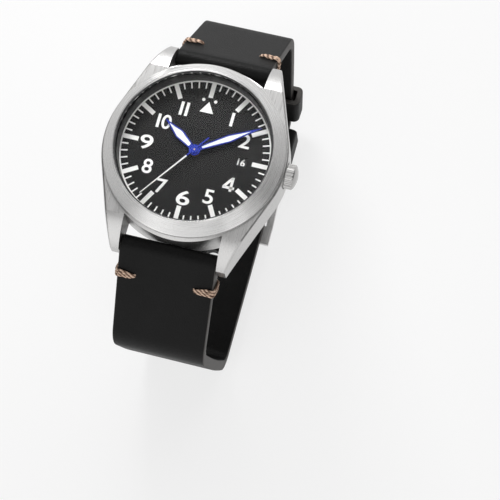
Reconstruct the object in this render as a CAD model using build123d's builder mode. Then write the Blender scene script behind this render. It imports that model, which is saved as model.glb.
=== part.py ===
from build123d import *
import os
from math import acos, asin, atan2, cos, degrees, hypot, radians, sin, sqrt

# A pilot watch with an automatic movement, buckled as when it is worn.
# Sizes are in millimetres and angles in degrees. The origin is the centre of the case back,
# +Z points out of the dial, +Y to 12 o'clock and +X to 3 o'clock, where the crown is.

os.makedirs("parts", exist_ok=True)

# Running and seat clearances
shaft_clearance = 0.03
seat_clearance = 0.02
gear_gap = 0.05
overrun = 1.0

# Case
case_diameter = 41.2
bezel_diameter = 40.2
opening_diameter = 34.6
case_bore_diameter = 34.4
case_back_height = 1.2
mid_case_height = 7.4
bezel_height = 3.6
lug_gap = 22.0
lug_span = 48.6
lug_tip_width = 2.0
lug_tip_top = 4.3
lug_tip_bottom = 0.9
lug_slope_start = 17.6
lug_slope_bulge = 0.85
lug_edge_round = 0.5
spring_bar_span = 45.2
spring_bar_height = 2.9
spring_bar_diameter = 1.8
spring_bar_tip_diameter = 0.8
spring_bar_tip_length = 1.1
spring_bar_shoulder_gap = 0.1

# Bezel, crystal and inner ring
bezel_neck_depth = 0.7
bezel_neck_wall = 1.1
bezel_edge_height = 0.75
bezel_rim_width = 0.4
bezel_rim_drop = 0.15
bezel_edge_chamfer = 0.2
crystal_thickness = 1.0
crystal_dome = 0.55
crystal_gasket_wall = 0.3
crystal_seat_depth = 1.35
inner_ring_wall = 0.35
inner_ring_lean = 0.15

# Dial
dial_height = 7.4
dial_thickness = 0.4
dial_bore_diameter = 2.4
minute_track_diameter = 33.2
minute_track_width = 0.35
minute_tick_length = 1.85
minute_tick_width = 0.32
hour_bar_length = 3.8
hour_bar_width = 1.0
print_thickness = 0.03
minute_count = 60
minutes_per_hour_bar = 5
triangle_radius = 10.5
triangle_base = 3.1
triangle_height = 2.6
triangle_dot_diameter = 0.75
triangle_dot_offset = 1.35
triangle_dot_radius = 12.1
date_window_radius = 10.4
date_window_length = 2.4
date_window_width = 1.8

# Case back
case_back_diameter = 38.2
case_back_land_diameter = 37.2
case_back_step = 0.55
case_back_chamfer = 0.35
back_glass_diameter = 25.4
back_glass_thickness = 1.6
back_glass_ledge = 0.7
case_back_neck_height = 1.9
case_back_neck_wall = 1.2
wrench_notch_length = 1.9
wrench_notch_width = 1.9
wrench_notch_depth = 0.45
wrench_notch_count = 6
wrench_notch_start = 36.0
case_gasket_inner_diameter = 35.2
case_gasket_width = 0.6
case_gasket_depth = 0.5

# Crown and stem
crown_diameter = 5.6
crown_length = 2.6
crown_dome = 0.6
crown_gap = 0.15
crown_seat_depth = 0.9
crown_pocket_gap = 0.2
crown_flute_count = 22
crown_flute_diameter = 0.62
crown_flute_share = 0.25
crown_edge_chamfer = 0.35
crown_bore_depth = 1.7
crown_tube_diameter = 2.0
crown_tube_bore = 1.2
crown_tube_reach = 1.3
crown_travel = 1.2
stem_height = 5.5
stem_diameter = 1.0
stem_square = 0.7
stem_groove_width = 0.7
stem_groove_diameter = 0.6
stem_groove_place = 10.4
stem_inner_end = 5.0
stem_square_start = 5.6

# Hands, with the time that they show at rest
hour_hand_angle = 304.8
minute_hand_angle = 57.6
seconds_hand_angle = 216.0
hand_thickness = 0.2
hour_hand_height = 8.2
minute_hand_height = 8.55
seconds_hand_height = 8.9
hour_hand_length = 9.9
hour_hand_width = 2.1
hour_hand_root_width = 0.9
minute_hand_length = 15.3
minute_hand_width = 1.75
minute_hand_root_width = 0.8
hand_rim = 0.28
hand_hub_diameter = 2.5
lume_clearance = 0.01
lume_start = 1.7
blade_widest_share = 0.52
seconds_hand_length = 15.2
seconds_hand_tail = 4.1
seconds_hand_width = 0.34
seconds_hand_tip_width = 0.16
seconds_hub_diameter = 1.7

# Strap
strap_thickness = 2.6
strap_lug_width = 21.7
strap_buckle_width = 20.4
strap_exit_angle = 48.0
strap_exit_length = 21.0
strap_shoulder_radius = 7.0
strap_side_angle = 100.0
strap_side_length = 4.0
strap_side_radius = 240.0
strap_side_turn = 5.6
side_leg = 3
strap_corner_radius = 4.0
strap_fold_length = 9.0
strap_layer_gap = 0.3
strap_fold_wall = 1.3
strap_tip_fillet = 6.0
strap_hole_pitch = 6.5
strap_hole_width = 3.3
strap_hole_length = 2.3
strap_holes_behind = 1
strap_holes_ahead = 5
strap_tip_reach = 15.0
bar_clearance = 0.08
fold_gap = 0.12

# Keepers and stitches
keeper_thickness = 1.3
keeper_gap = 0.2
keeper_side_gap = 0.8
fixed_keeper_start = 6.9
fixed_keeper_length = 6.6
corner_clearance = 0.5
free_keeper_length = 7.4
free_keeper_travel = 9.0
stitch_thickness = 0.5
stitch_flat_thickness = 0.22
stitch_width = 1.5
stitch_length = 4.2
stitch_clearance = 0.03
lug_stitch_place = 6.0
buckle_stitch_place = 3.9
seam_stitch_place = 14.45
seam_stitch_spread = 8.4
seam_stitch_length = 1.7
seam_stitch_width = 0.9

# Buckle
buckle_bar_reach = 13.5
buckle_bar_diameter = 1.5
buckle_bar_tip_diameter = 0.8
buckle_front_start = 10.5
buckle_front_length = 4.7
buckle_arm_thickness = 1.6
buckle_arm_height = 2.0
buckle_arm_end_diameter = 3.0
buckle_side_gap = 0.35
buckle_plate_thickness = 1.3
buckle_front_fillet = 0.5
buckle_notch_width = 3.0
buckle_notch_depth = 0.9
buckle_notch_length = 2.4
tang_width = 2.4
tang_thickness = 0.8
tang_ring_diameter = 3.0
tang_riser_place = 2.1
tang_gap = 0.05
tang_side_gap = 0.8
slot_corner_share = 0.25
tang_root_share = 0.25

# Movement: plates and bridges
movement_diameter = 26.0
main_plate_low = 5.9
main_plate_high = 7.0
main_plate_wall = 2.6
bridge_low = 3.55
bridge_high = 4.15
bridge_diameter = 25.2
bridge_split = 0.3
auto_bridge_low = 2.75
auto_bridge_high = 3.1
auto_bridge_diameter = 20.6
post_diameter = 1.8
screw_head_diameter = 1.5
screw_head_height = 0.3
screw_shank_diameter = 0.7
screw_slot_width = 0.22
screw_slot_depth = 0.15
jewel_diameter = 1.3
jewel_thickness = 0.3
pivot_diameter = 0.3
arbor_diameter = 0.5
auto_post_right = (9.2, 0.0)
auto_post_left = (-9.0, 2.4)
auto_post_low = (-4.0, -7.5)
pocket_gap = 0.12
split_place = 1.2
balance_opening_diameter = 9.4
screw_circle_diameter = 23.2
barrel_screw_directions = (30.0, 165.0)
train_screw_directions = (192.0, 250.0)
screw_depth = 1.4

# Movement: going train
centre_wheel_teeth = 80
centre_wheel_module = 0.09
third_pinion_leaves = 10
third_wheel_teeth = 75
fourth_pinion_leaves = 10
fourth_wheel_teeth = 96
fourth_wheel_module = 0.08
escape_pinion_leaves = 8
barrel_teeth = 84
barrel_module = 0.135
centre_pinion_leaves = 12
barrel_direction = 110.0
third_direction = 200.0
escape_direction = -88.0
fourth_wheel_low = 4.28
fourth_wheel_high = 4.40
third_wheel_low = 4.47
third_wheel_high = 4.60
centre_wheel_low = 4.70
centre_wheel_high = 4.85
escape_wheel_low = 4.95
escape_wheel_high = 5.07
escape_teeth = 20
escape_diameter = 4.4
escape_root_diameter = 3.3
barrel_low = 4.95
barrel_teeth_high = 5.25
barrel_high = 6.15
barrel_arbor_diameter = 1.8
seconds_arbor_diameter = 0.36
centre_tube_bore = 0.5
centre_tube_diameter = 0.84
centre_tube_high = 7.9
barrel_wall = 0.3
mainspring_turns = 9
mainspring_strip = 0.12
spiral_steps = 36

# Movement: escapement
pallet_x = 2.52
pallet_y = -5.09
pallet_low = 5.1
pallet_high = 5.25
pallet_arm_width = 0.5
pallet_stone_gap = 0.17
fork_gap = 0.15
pallet_stone_size = 0.36
balance_x = 5.14
balance_y = -6.13
balance_diameter = 8.6
balance_rim_width = 0.6
balance_low = 3.85
balance_high = 4.15
balance_arm_width = 0.55
balance_arm_count = 3
hairspring_low = 3.68
hairspring_high = 3.8
hairspring_inner = 0.55
hairspring_outer = 2.4
hairspring_turns = 8
hairspring_wire = 0.07
roller_diameter = 1.3
cock_low = 3.2
cock_high = 3.5
cock_foot_x = 10.6
cock_foot_y = -3.2
cock_foot_diameter = 2.8
cock_arm_width = 2.6
escape_lean_share = 0.75
escape_tip_share = 0.9
pallet_stone_angle = 30.0
pallet_bridge_low = 4.6
pallet_bridge_high = 4.85
pallet_bridge_length = 2.3
pallet_bridge_direction = -60.0
pallet_bridge_width = 1.2

# Movement: winding work
ratchet_teeth = 60
crown_wheel_teeth = 40
winding_module = 0.16
winding_wheel_low = 3.2
winding_wheel_high = 3.45
crown_wheel_x = 5.0
crown_wheel_pipe_diameter = 1.6
winding_pinion_low = 8.4
winding_pinion_high = 9.3
winding_pinion_teeth = 14
winding_pinion_module = 0.145
clutch_low = 6.4
clutch_high = 8.2
clutch_diameter = 1.9
clutch_groove_width = 0.5
clutch_groove_diameter = 1.4
setting_lever_pivot_y = 3.6
setting_lever_width = 1.0
click_x = -7.9
click_y = 7.9
click_width = 0.5
click_turn = -22.3
lever_low = 4.3
lever_high = 4.55
lever_pin_diameter = 0.4
lever_pin_place = 0.62
lever_pocket_high = 5.85

# Movement: motion work and date
cannon_leaves = 12
minute_wheel_teeth = 36
cannon_module = 0.1
minute_pinion_leaves = 10
hour_wheel_teeth = 40
motion_direction = 55.0
minute_wheel_low = 7.05
minute_wheel_high = 7.19
hour_wheel_low = 7.22
hour_wheel_high = 7.36
hour_tube_diameter = 1.7
date_disc_low = 7.08
date_disc_high = 7.28
date_disc_inner = 18.4
date_disc_outer = 25.0
date_rim_wall = 0.15
cannon_tube_diameter = 1.24

# Movement: automatic winding
rotor_diameter = 24.0
rotor_low = 2.2
rotor_high = 2.45
rotor_rim_width = 1.5
rotor_rim_high = 3.0
rotor_direction = 176.0
rotor_hub_diameter = 4.4
rotor_hub_high = 2.68
rotor_neck_diameter = 1.9
rotor_pinion_teeth = 14
reverser_teeth = 26
reverser_module = 0.12
reverser_low = 3.15
reverser_high = 3.4
reverser_directions = (200.0, 290.0)
rotor_edge_offset = 0.75

# Shares of a tooth: how wide it is at its root and tip, and how far it stands from the pitch circle
tooth_root_share = 0.48
tooth_tip_share = 0.2
tooth_addendum_share = 0.8
tooth_dedendum_share = 1.05
spoke_window_share = 0.74

# Turns in degrees
quarter_turn = 90.0
half_turn = 180.0
full_turn = 360.0

# Places that follow from the sizes
case_radius = case_diameter / 2
bezel_radius = bezel_diameter / 2
opening_radius = opening_diameter / 2
bore_radius = case_bore_diameter / 2
mid_case_top = case_back_height + mid_case_height
bezel_top = mid_case_top + bezel_height
dial_top = dial_height + dial_thickness
crystal_low = bezel_top - crystal_seat_depth
movement_radius = movement_diameter / 2
fold_radius = spring_bar_diameter / 2 + strap_fold_wall


def polar(radius, angle):
    return (radius * cos(radians(angle)), radius * sin(radians(angle)))


def clock(angle):
    # a direction given clockwise from 12 o'clock, as an angle from +X
    return quarter_turn - angle


def cap_middle(radius, height, rise):
    # middle point, as radius and height, of the arc from a cap's rim up to its top on the axis
    sphere = (radius ** 2 + rise ** 2) / (2 * rise)
    middle_angle = asin(radius / sphere) / 2
    return (sphere * sin(middle_angle), height + rise - sphere + sphere * cos(middle_angle))


def plate_ring(inner, outer, low, high, centre=(0, 0)):
    # adds a flat ring, or a disc when inner is zero, to the piece being built
    with BuildSketch(Plane.XY.offset(low)) as flat:
        with Locations(centre):
            Circle(outer)
            if inner > 0:
                Circle(inner, mode=Mode.SUBTRACT)
    extrude(flat.sketch, amount=high - low)


def bore(radius, low, high, centre=(0, 0)):
    # cuts a round hole out of the piece being built
    with BuildSketch(Plane.XY.offset(low)) as round_cut:
        with Locations(centre):
            Circle(radius)
    extrude(round_cut.sketch, amount=high - low, mode=Mode.SUBTRACT)


def turned(points):
    # adds a turned body from an outline of (radius, height) points
    with BuildSketch(Plane.XZ) as section:
        with BuildLine():
            Polyline(*points, close=True)
        make_face()
    revolve(section.sketch, axis=Axis.Z)


def tooth_points(teeth, module, phase):
    # outline of a wheel with straight-flanked teeth, the first tooth centred on the phase angle
    pitch_radius = teeth * module / 2
    root_radius = pitch_radius - tooth_dedendum_share * module
    tip_radius = pitch_radius + tooth_addendum_share * module
    tooth_turn = full_turn / teeth
    corners = (
        (root_radius, -tooth_root_share / 2),
        (tip_radius, -tooth_tip_share / 2),
        (tip_radius, tooth_tip_share / 2),
        (root_radius, tooth_root_share / 2),
    )
    return [
        polar(radius, phase + (tooth + share) * tooth_turn)
        for tooth in range(teeth)
        for radius, share in corners
    ]


def flat_shape(points, centre, low, high):
    # adds a flat plate whose outline points are given round a centre
    with BuildSketch(Plane.XY.offset(low)) as shape:
        with BuildLine():
            Polyline(*[(x + centre[0], y + centre[1]) for x, y in points], close=True)
        make_face()
    extrude(shape.sketch, amount=high - low)


def toothed_disc(teeth, module, low, high, centre, phase):
    # adds a toothed disc to the piece being built
    flat_shape(tooth_points(teeth, module, phase), centre, low, high)


# Mid-case: a round body with four lugs, bored for the movement
tip_x = lug_gap / 2 + lug_tip_width
tip_y = lug_span / 2
tangent_angle = degrees(atan2(tip_y, tip_x)) - degrees(acos(case_radius / hypot(tip_x, tip_y)))
stem_plane = Plane(origin=(0, 0, stem_height), x_dir=(0, 1, 0), z_dir=(1, 0, 0))
crown_seat = case_radius - crown_seat_depth
slope_middle_y = (lug_slope_start + tip_y) / 2
slope_middle_z = (mid_case_top + lug_tip_top) / 2 + lug_slope_bulge
with BuildPart() as mid_case:
    with BuildSketch(Plane.XY.offset(case_back_height - overrun)) as case_plan:
        Circle(case_radius)
        with BuildLine():
            Polyline(
                (lug_gap / 2, 0),
                polar(case_radius, tangent_angle),
                (tip_x, tip_y),
                (lug_gap / 2, tip_y),
                close=True,
            )
        make_face()
        mirror(about=Plane.XZ)
        mirror(about=Plane.YZ)
    extrude(amount=mid_case_height + overrun)
    with BuildSketch(Plane.YZ) as case_side:
        with BuildLine():
            Line((0, mid_case_top), (lug_slope_start, mid_case_top))
            slope_middle = (slope_middle_y, slope_middle_z)
            ThreePointArc((lug_slope_start, mid_case_top), slope_middle, (tip_y, lug_tip_top))
            Line((tip_y, lug_tip_top), (tip_y, lug_tip_bottom))
            Line((tip_y, lug_tip_bottom), (case_radius, case_back_height))
            Line((case_radius, case_back_height), (0, case_back_height))
            Line((0, case_back_height), (0, mid_case_top))
        make_face()
        mirror(about=Plane.YZ)
    extrude(case_side.sketch, amount=case_diameter, both=True, mode=Mode.INTERSECT)
    lug_rims = (
        mid_case.edges()
        .filter_by(Axis.Z, reverse=True)
        .filter_by(Axis.X, reverse=True)
        .filter_by(lambda edge: abs(edge.center().X) > lug_gap / 2 + seat_clearance)
        .filter_by(lambda edge: edge.center().Z > lug_tip_top)
    )
    fillet(lug_rims, radius=lug_edge_round)
    bore(bore_radius, case_back_height - overrun, mid_case_top + overrun)
    bore(bezel_radius - bezel_neck_wall, mid_case_top - bezel_neck_depth, mid_case_top + overrun)
    gasket_inner = case_gasket_inner_diameter / 2
    with BuildSketch(Plane.XY.offset(case_back_height - overrun)) as gasket_groove:
        Circle(gasket_inner + case_gasket_width + seat_clearance)
        Circle(gasket_inner - seat_clearance, mode=Mode.SUBTRACT)
    extrude(gasket_groove.sketch, amount=overrun + case_gasket_depth, mode=Mode.SUBTRACT)
    with BuildSketch(stem_plane.offset(crown_seat)) as crown_pocket:
        Circle(crown_diameter / 2 + crown_pocket_gap)
    extrude(crown_pocket.sketch, amount=overrun * case_radius, mode=Mode.SUBTRACT)
    with BuildSketch(stem_plane.offset(bore_radius - overrun)) as tube_hole:
        Circle(crown_tube_diameter / 2 + seat_clearance)
    extrude(tube_hole.sketch, amount=case_radius, mode=Mode.SUBTRACT)
    bar_hole_plane = Plane(origin=(0, 0, 0), x_dir=(0, 1, 0), z_dir=(1, 0, 0))
    with BuildSketch(bar_hole_plane) as fold_room:
        for side in (1, -1):
            with Locations((side * spring_bar_span / 2, spring_bar_height)):
                Circle(fold_radius + fold_gap)
    extrude(fold_room.sketch, amount=lug_gap / 2, both=True, mode=Mode.SUBTRACT)
    bar_hole_reach = lug_gap / 2 + spring_bar_tip_length + seat_clearance
    with BuildSketch(bar_hole_plane) as bar_holes:
        for side in (1, -1):
            with Locations((side * spring_bar_span / 2, spring_bar_height)):
                Circle(spring_bar_tip_diameter / 2 + shaft_clearance)
    extrude(bar_holes.sketch, amount=bar_hole_reach, both=True, mode=Mode.SUBTRACT)

# Bezel: a turned ring with a wide sloping face and a neck that presses into the mid-case
bezel_bore = opening_radius
neck_outer = bezel_radius - bezel_neck_wall - seat_clearance
neck_low = mid_case_top - bezel_neck_depth + seat_clearance
edge_top = mid_case_top + bezel_edge_height
inner_ring_outer = bore_radius - seat_clearance
with BuildPart() as bezel:
    turned((
        (bezel_bore, crystal_low - crystal_gasket_wall),
        (bezel_bore, bezel_top - bezel_rim_drop),
        (bezel_bore + bezel_rim_drop, bezel_top),
        (bezel_bore + bezel_rim_width, bezel_top),
        (bezel_radius - bezel_edge_chamfer, edge_top + bezel_edge_chamfer),
        (bezel_radius, edge_top),
        (bezel_radius, mid_case_top),
        (neck_outer, mid_case_top),
        (neck_outer, neck_low),
        (inner_ring_outer + seat_clearance, neck_low),
        (inner_ring_outer + seat_clearance, crystal_low - crystal_gasket_wall),
    ))

# Crystal: a low dome in a thin gasket
crystal_radius = opening_radius - crystal_gasket_wall
crystal_rim_high = crystal_low + crystal_thickness
dome_rise = bezel_top + crystal_dome - crystal_rim_high
with BuildPart() as crystal:
    with BuildSketch(Plane.XZ) as dome_section:
        with BuildLine():
            Line((0, crystal_low), (crystal_radius - seat_clearance, crystal_low))
            crystal_outer = crystal_radius - seat_clearance
            Line((crystal_outer, crystal_low), (crystal_outer, crystal_rim_high))
            ThreePointArc(
                (crystal_radius - seat_clearance, crystal_rim_high),
                cap_middle(crystal_radius - seat_clearance, crystal_rim_high, dome_rise),
                (0, crystal_rim_high + dome_rise),
            )
            Line((0, crystal_rim_high + dome_rise), (0, crystal_low))
        make_face()
    revolve(axis=Axis.Z)
with BuildPart() as crystal_gasket:
    plate_ring(crystal_radius, opening_radius - seat_clearance, crystal_low, crystal_rim_high)

# Inner ring: the deep black ring between the dial and the crystal
ring_low = dial_top
ring_high = crystal_low
ring_inner = inner_ring_outer - inner_ring_wall
with BuildPart() as inner_ring:
    turned((
        (ring_inner - inner_ring_lean, ring_low),
        (ring_inner, ring_high),
        (inner_ring_outer, ring_high),
        (inner_ring_outer, ring_low),
    ))

# Case back: a screwed ring with six wrench notches, its glass and its gasket
back_radius = case_back_diameter / 2
back_land = case_back_land_diameter / 2
back_neck_outer = bore_radius - seat_clearance
back_glass_radius = back_glass_diameter / 2
with BuildPart() as case_back:
    turned((
        (back_glass_radius, 0),
        (back_land - case_back_chamfer, 0),
        (back_land, case_back_chamfer),
        (back_land, case_back_step),
        (back_radius, case_back_step),
        (back_radius, case_back_height),
        (back_neck_outer, case_back_height),
        (back_neck_outer, case_back_height + case_back_neck_height),
        (back_neck_outer - case_back_neck_wall, case_back_height + case_back_neck_height),
        (back_neck_outer - case_back_neck_wall, back_glass_thickness + case_back_chamfer),
        (back_glass_radius - back_glass_ledge, back_glass_thickness + case_back_chamfer),
        (back_glass_radius - back_glass_ledge, back_glass_thickness),
        (back_glass_radius, back_glass_thickness),
    ))
    with BuildSketch(Plane.XY) as notches:
        with PolarLocations(back_land - wrench_notch_length / 2, wrench_notch_count,
                            start_angle=wrench_notch_start):
            Rectangle(wrench_notch_length + case_back_chamfer, wrench_notch_width)
    extrude(notches.sketch, amount=wrench_notch_depth, mode=Mode.SUBTRACT)
with BuildPart() as back_glass:
    plate_ring(0, back_glass_radius - seat_clearance, 0, back_glass_thickness - seat_clearance)
with BuildPart() as case_gasket:
    plate_ring(gasket_inner, gasket_inner + case_gasket_width, case_back_height,
               case_back_height + case_gasket_depth - seat_clearance)

# Movement ring: centres the movement in the case and carries the dial edge
with BuildPart() as movement_ring:
    plate_ring(movement_radius + seat_clearance, bore_radius - seat_clearance,
               case_back_height + case_back_neck_height, dial_height)
    with BuildSketch(stem_plane) as ring_slot:
        Circle(crown_tube_diameter / 2 + seat_clearance)
    extrude(ring_slot.sketch, amount=case_radius, mode=Mode.SUBTRACT)

# Crown, tube and stem
crown_start = crown_seat + crown_gap
crown_barrel_end = crown_start + crown_length
crown_end = crown_barrel_end + crown_dome
crown_radius = crown_diameter / 2
with BuildPart() as crown:
    with BuildSketch(Plane.XY.offset(stem_height)) as crown_section:
        with BuildLine():
            Polyline(
                (crown_barrel_end, 0),
                (crown_start, 0),
                (crown_start, crown_radius - crown_edge_chamfer),
                (crown_start + crown_edge_chamfer, crown_radius),
                (crown_barrel_end - crown_edge_chamfer, crown_radius),
                (crown_barrel_end, crown_radius - crown_edge_chamfer),
            )
            cap_rim = crown_radius - crown_edge_chamfer
            cap_radius, cap_height = cap_middle(cap_rim, crown_barrel_end, crown_dome)
            ThreePointArc(
                (crown_barrel_end, cap_rim), (cap_height, cap_radius), (crown_end, 0)
            )
            Line((crown_end, 0), (crown_barrel_end, 0))
        make_face()
    revolve(crown_section.sketch, axis=Axis((0, 0, stem_height), (1, 0, 0)))
    flute_plane = stem_plane.offset(crown_start - overrun)
    with BuildSketch(flute_plane) as flutes:
        with PolarLocations(crown_radius + crown_flute_share * crown_flute_diameter, crown_flute_count):
            Circle(crown_flute_diameter / 2)
    extrude(flutes.sketch, amount=overrun + crown_length, mode=Mode.SUBTRACT)
    with BuildSketch(stem_plane.offset(crown_start - overrun)) as tube_bore:
        Circle(crown_tube_diameter / 2 + shaft_clearance)
    extrude(tube_bore.sketch, amount=overrun + crown_bore_depth, mode=Mode.SUBTRACT)
    with BuildSketch(stem_plane.offset(crown_start)) as stem_bore:
        Circle(stem_diameter / 2)
    extrude(stem_bore.sketch, amount=crown_length - crown_edge_chamfer, mode=Mode.SUBTRACT)
tube_start = bore_radius - crown_tube_reach
tube_end = crown_start + crown_bore_depth - crown_gap
with BuildPart() as crown_tube:
    with BuildSketch(stem_plane.offset(tube_start)):
        Circle(crown_tube_diameter / 2)
        Circle(crown_tube_bore / 2, mode=Mode.SUBTRACT)
    extrude(amount=tube_end - tube_start)
stem_end = crown_start + crown_length - crown_edge_chamfer
with BuildPart() as winding_stem:
    with BuildSketch(stem_plane.offset(winding_pinion_low - gear_gap)):
        Circle(stem_diameter / 2)
    extrude(amount=stem_end - winding_pinion_low + gear_gap)
    with BuildSketch(stem_plane.offset(stem_square_start)):
        Rectangle(stem_square, stem_square)
    extrude(amount=winding_pinion_low - gear_gap - stem_square_start)
    with BuildSketch(stem_plane.offset(stem_inner_end)):
        Circle(stem_square / 2)
    extrude(amount=stem_square_start - stem_inner_end)
    with BuildSketch(stem_plane.offset(stem_groove_place)):
        Circle(stem_diameter / 2 + overrun)
        Circle(stem_groove_diameter / 2, mode=Mode.SUBTRACT)
    extrude(amount=stem_groove_width, mode=Mode.SUBTRACT)

# Spring bars between the lugs
bar_shoulder = lug_gap / 2 - spring_bar_shoulder_gap


def spring_bar(place, height, shoulder, diameter, tip_diameter, tip_length):
    # a round bar along X with a thin tip at each end
    axis_plane = Plane(origin=(0, place, height), x_dir=(0, 1, 0), z_dir=(1, 0, 0))
    with BuildPart() as bar:
        with BuildSketch(axis_plane) as body:
            Circle(diameter / 2)
        extrude(body.sketch, amount=shoulder, both=True)
        with BuildSketch(axis_plane) as tips:
            Circle(tip_diameter / 2)
        extrude(tips.sketch, amount=shoulder + tip_length, both=True)
    return bar


spring_bar_12 = spring_bar(spring_bar_span / 2, spring_bar_height, bar_shoulder,
                           spring_bar_diameter, spring_bar_tip_diameter, spring_bar_tip_length)
spring_bar_6 = spring_bar(-spring_bar_span / 2, spring_bar_height, bar_shoulder,
                          spring_bar_diameter, spring_bar_tip_diameter, spring_bar_tip_length)

# Strap: one route for the half that carries the buckle, and one outside it for the half with the holes.
# A route is a list of (length, turn, radius) legs in the plane of Y and Z. It starts at the spring bar.
long_drop = strap_thickness + strap_layer_gap
bar_point = (spring_bar_span / 2, spring_bar_height)


def strap_legs(extra_drop, flat_length):
    # straight off the bar, round the shoulder, down the side, round the corner and along the bottom
    shoulder_turn = strap_side_angle - strap_exit_angle
    corner_turn = half_turn - strap_side_angle - strap_side_turn
    return [
        (strap_exit_length, 0, 0),
        (strap_shoulder_radius * radians(shoulder_turn), shoulder_turn, strap_shoulder_radius),
        (strap_side_length + extra_drop / sin(radians(strap_side_angle)), 0, 0),
        (strap_side_radius * radians(strap_side_turn), strap_side_turn, strap_side_radius),
        (strap_corner_radius * radians(corner_turn), corner_turn, strap_corner_radius),
        (flat_length, 0, 0),
    ]


def step(pose, length, turn, radius, share=1):
    # moves a (y, z, heading) pose along a share of one leg, turning right
    y, z, heading = pose
    if radius == 0:
        distance = share * length
        return (y + distance * cos(radians(heading)), z + distance * sin(radians(heading)), heading)
    centre_y = y + radius * sin(radians(heading))
    centre_z = z - radius * cos(radians(heading))
    heading = heading - share * turn
    return (centre_y - radius * sin(radians(heading)), centre_z + radius * cos(radians(heading)), heading)


def aside(pose, distance):
    # the point that lies a distance to the outside of a pose
    y, z, heading = pose
    return (y - distance * sin(radians(heading)), z + distance * cos(radians(heading)))


def leg_starts(legs):
    # the strap's outer face runs flush off the roll round the spring bar
    exit_point = aside((*bar_point, -strap_exit_angle), fold_radius - strap_thickness / 2)
    poses = [(*exit_point, -strap_exit_angle)]
    for leg in legs:
        poses.append(step(poses[-1], *leg))
    return poses


def strap_face(legs, thickness):
    # side view of a strap along a route, drawn in the sketch being built
    poses = leg_starts(legs)
    with BuildLine() as outline:
        for pose, leg, following in zip(poses, legs, poses[1:]):
            for distance in (thickness / 2, -thickness / 2):
                first, last = aside(pose, distance), aside(following, distance)
                if leg[2] == 0:
                    Line(first, last)
                else:
                    ThreePointArc(first, aside(step(pose, *leg, 1 / 2), distance), last)
        for pose in (poses[0], poses[-1]):
            Line(aside(pose, thickness / 2), aside(pose, -thickness / 2))
    make_face(outline.edges())


def pose_at(legs, distance):
    # pose on a route at a distance from its spring bar
    for pose, leg in zip(leg_starts(legs), legs):
        if distance <= leg[0]:
            return step(pose, *leg, distance / leg[0])
        distance -= leg[0]
    return leg_starts(legs)[-1]


def route_length(legs):
    return sum(leg[0] for leg in legs)


def fold_face(legs):
    # side view of the strap's folded end, glued under the strap and skived at its tip
    roll_depth = 2 * fold_radius - strap_thickness / 2
    with BuildLine() as fold_edge:
        Polyline(
            aside(pose_at(legs, 0), 0),
            aside(pose_at(legs, strap_fold_length), 0),
            aside(pose_at(legs, strap_fold_length), -strap_thickness / 2),
            aside(pose_at(legs, strap_fold_length - strap_fold_wall), -roll_depth),
            aside(pose_at(legs, 0), -roll_depth),
            close=True,
        )
    make_face(fold_edge.edges())


corner_y, bottom_height, _ = leg_starts(strap_legs(0, 0))[-1]
long_corner_y = leg_starts(strap_legs(long_drop, 0))[-1][0]
buckle_bar_place = corner_y - buckle_bar_reach
short_legs = strap_legs(0, buckle_bar_reach)
pin_height = bottom_height + strap_fold_wall + buckle_bar_diameter / 2 - strap_thickness / 2
pin_point = (buckle_bar_place, pin_height)
hole_place = buckle_bar_place - tang_riser_place
tail_end = buckle_bar_place + strap_tip_reach
long_legs = strap_legs(long_drop, long_corner_y + tail_end)
hole_distance = route_length(long_legs) - (tail_end - hole_place)
long_bottom = bottom_height - long_drop


def strap_width_at(height):
    # the strap narrows evenly from its lugs down to the buckle
    share = (spring_bar_height - height) / (spring_bar_height - long_bottom)
    return strap_lug_width + (strap_buckle_width - strap_lug_width) * min(1, share)


def taper_cut():
    # trims the strap being built to its narrowing width
    top = spring_bar_height + strap_thickness * 2
    with BuildSketch(Plane.XZ) as front_view:
        with BuildLine():
            Polyline(
                (strap_width_at(top) / 2, top),
                (strap_buckle_width / 2, long_bottom),
                (strap_buckle_width / 2, long_bottom - strap_thickness),
                (-strap_buckle_width / 2, long_bottom - strap_thickness),
                (-strap_buckle_width / 2, long_bottom),
                (-strap_width_at(top) / 2, top),
                close=True,
            )
        make_face()
    extrude(front_view.sketch, amount=lug_span, both=True, mode=Mode.INTERSECT)


pin_fold_radius = buckle_bar_diameter / 2 + strap_fold_wall
tang_slot_end = buckle_bar_place + pin_fold_radius + strap_fold_wall
with BuildPart() as strap_short:
    with BuildSketch(Plane.YZ) as short_side:
        strap_face(short_legs, strap_thickness)
        fold_face(short_legs)
        with Locations(bar_point):
            Circle(fold_radius)
        with Locations(pin_point):
            Circle(pin_fold_radius)
        with Locations(bar_point):
            Circle(spring_bar_diameter / 2 + bar_clearance, mode=Mode.SUBTRACT)
        with Locations(pin_point):
            Circle(buckle_bar_diameter / 2 + bar_clearance, mode=Mode.SUBTRACT)
    extrude(short_side.sketch, amount=strap_lug_width / 2 + overrun, both=True)
    taper_cut()
    slot_width = tang_width + 2 * tang_side_gap
    slot_length = tang_slot_end - buckle_bar_place + pin_fold_radius + overrun
    with BuildSketch(Plane.XY.offset(bottom_height - strap_thickness)) as tang_slot:
        with Locations((0, tang_slot_end - slot_length / 2)):
            RectangleRounded(slot_width, slot_length, slot_corner_share * slot_width)
    extrude(tang_slot.sketch, amount=strap_thickness + 2 * pin_fold_radius, mode=Mode.SUBTRACT)

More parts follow.
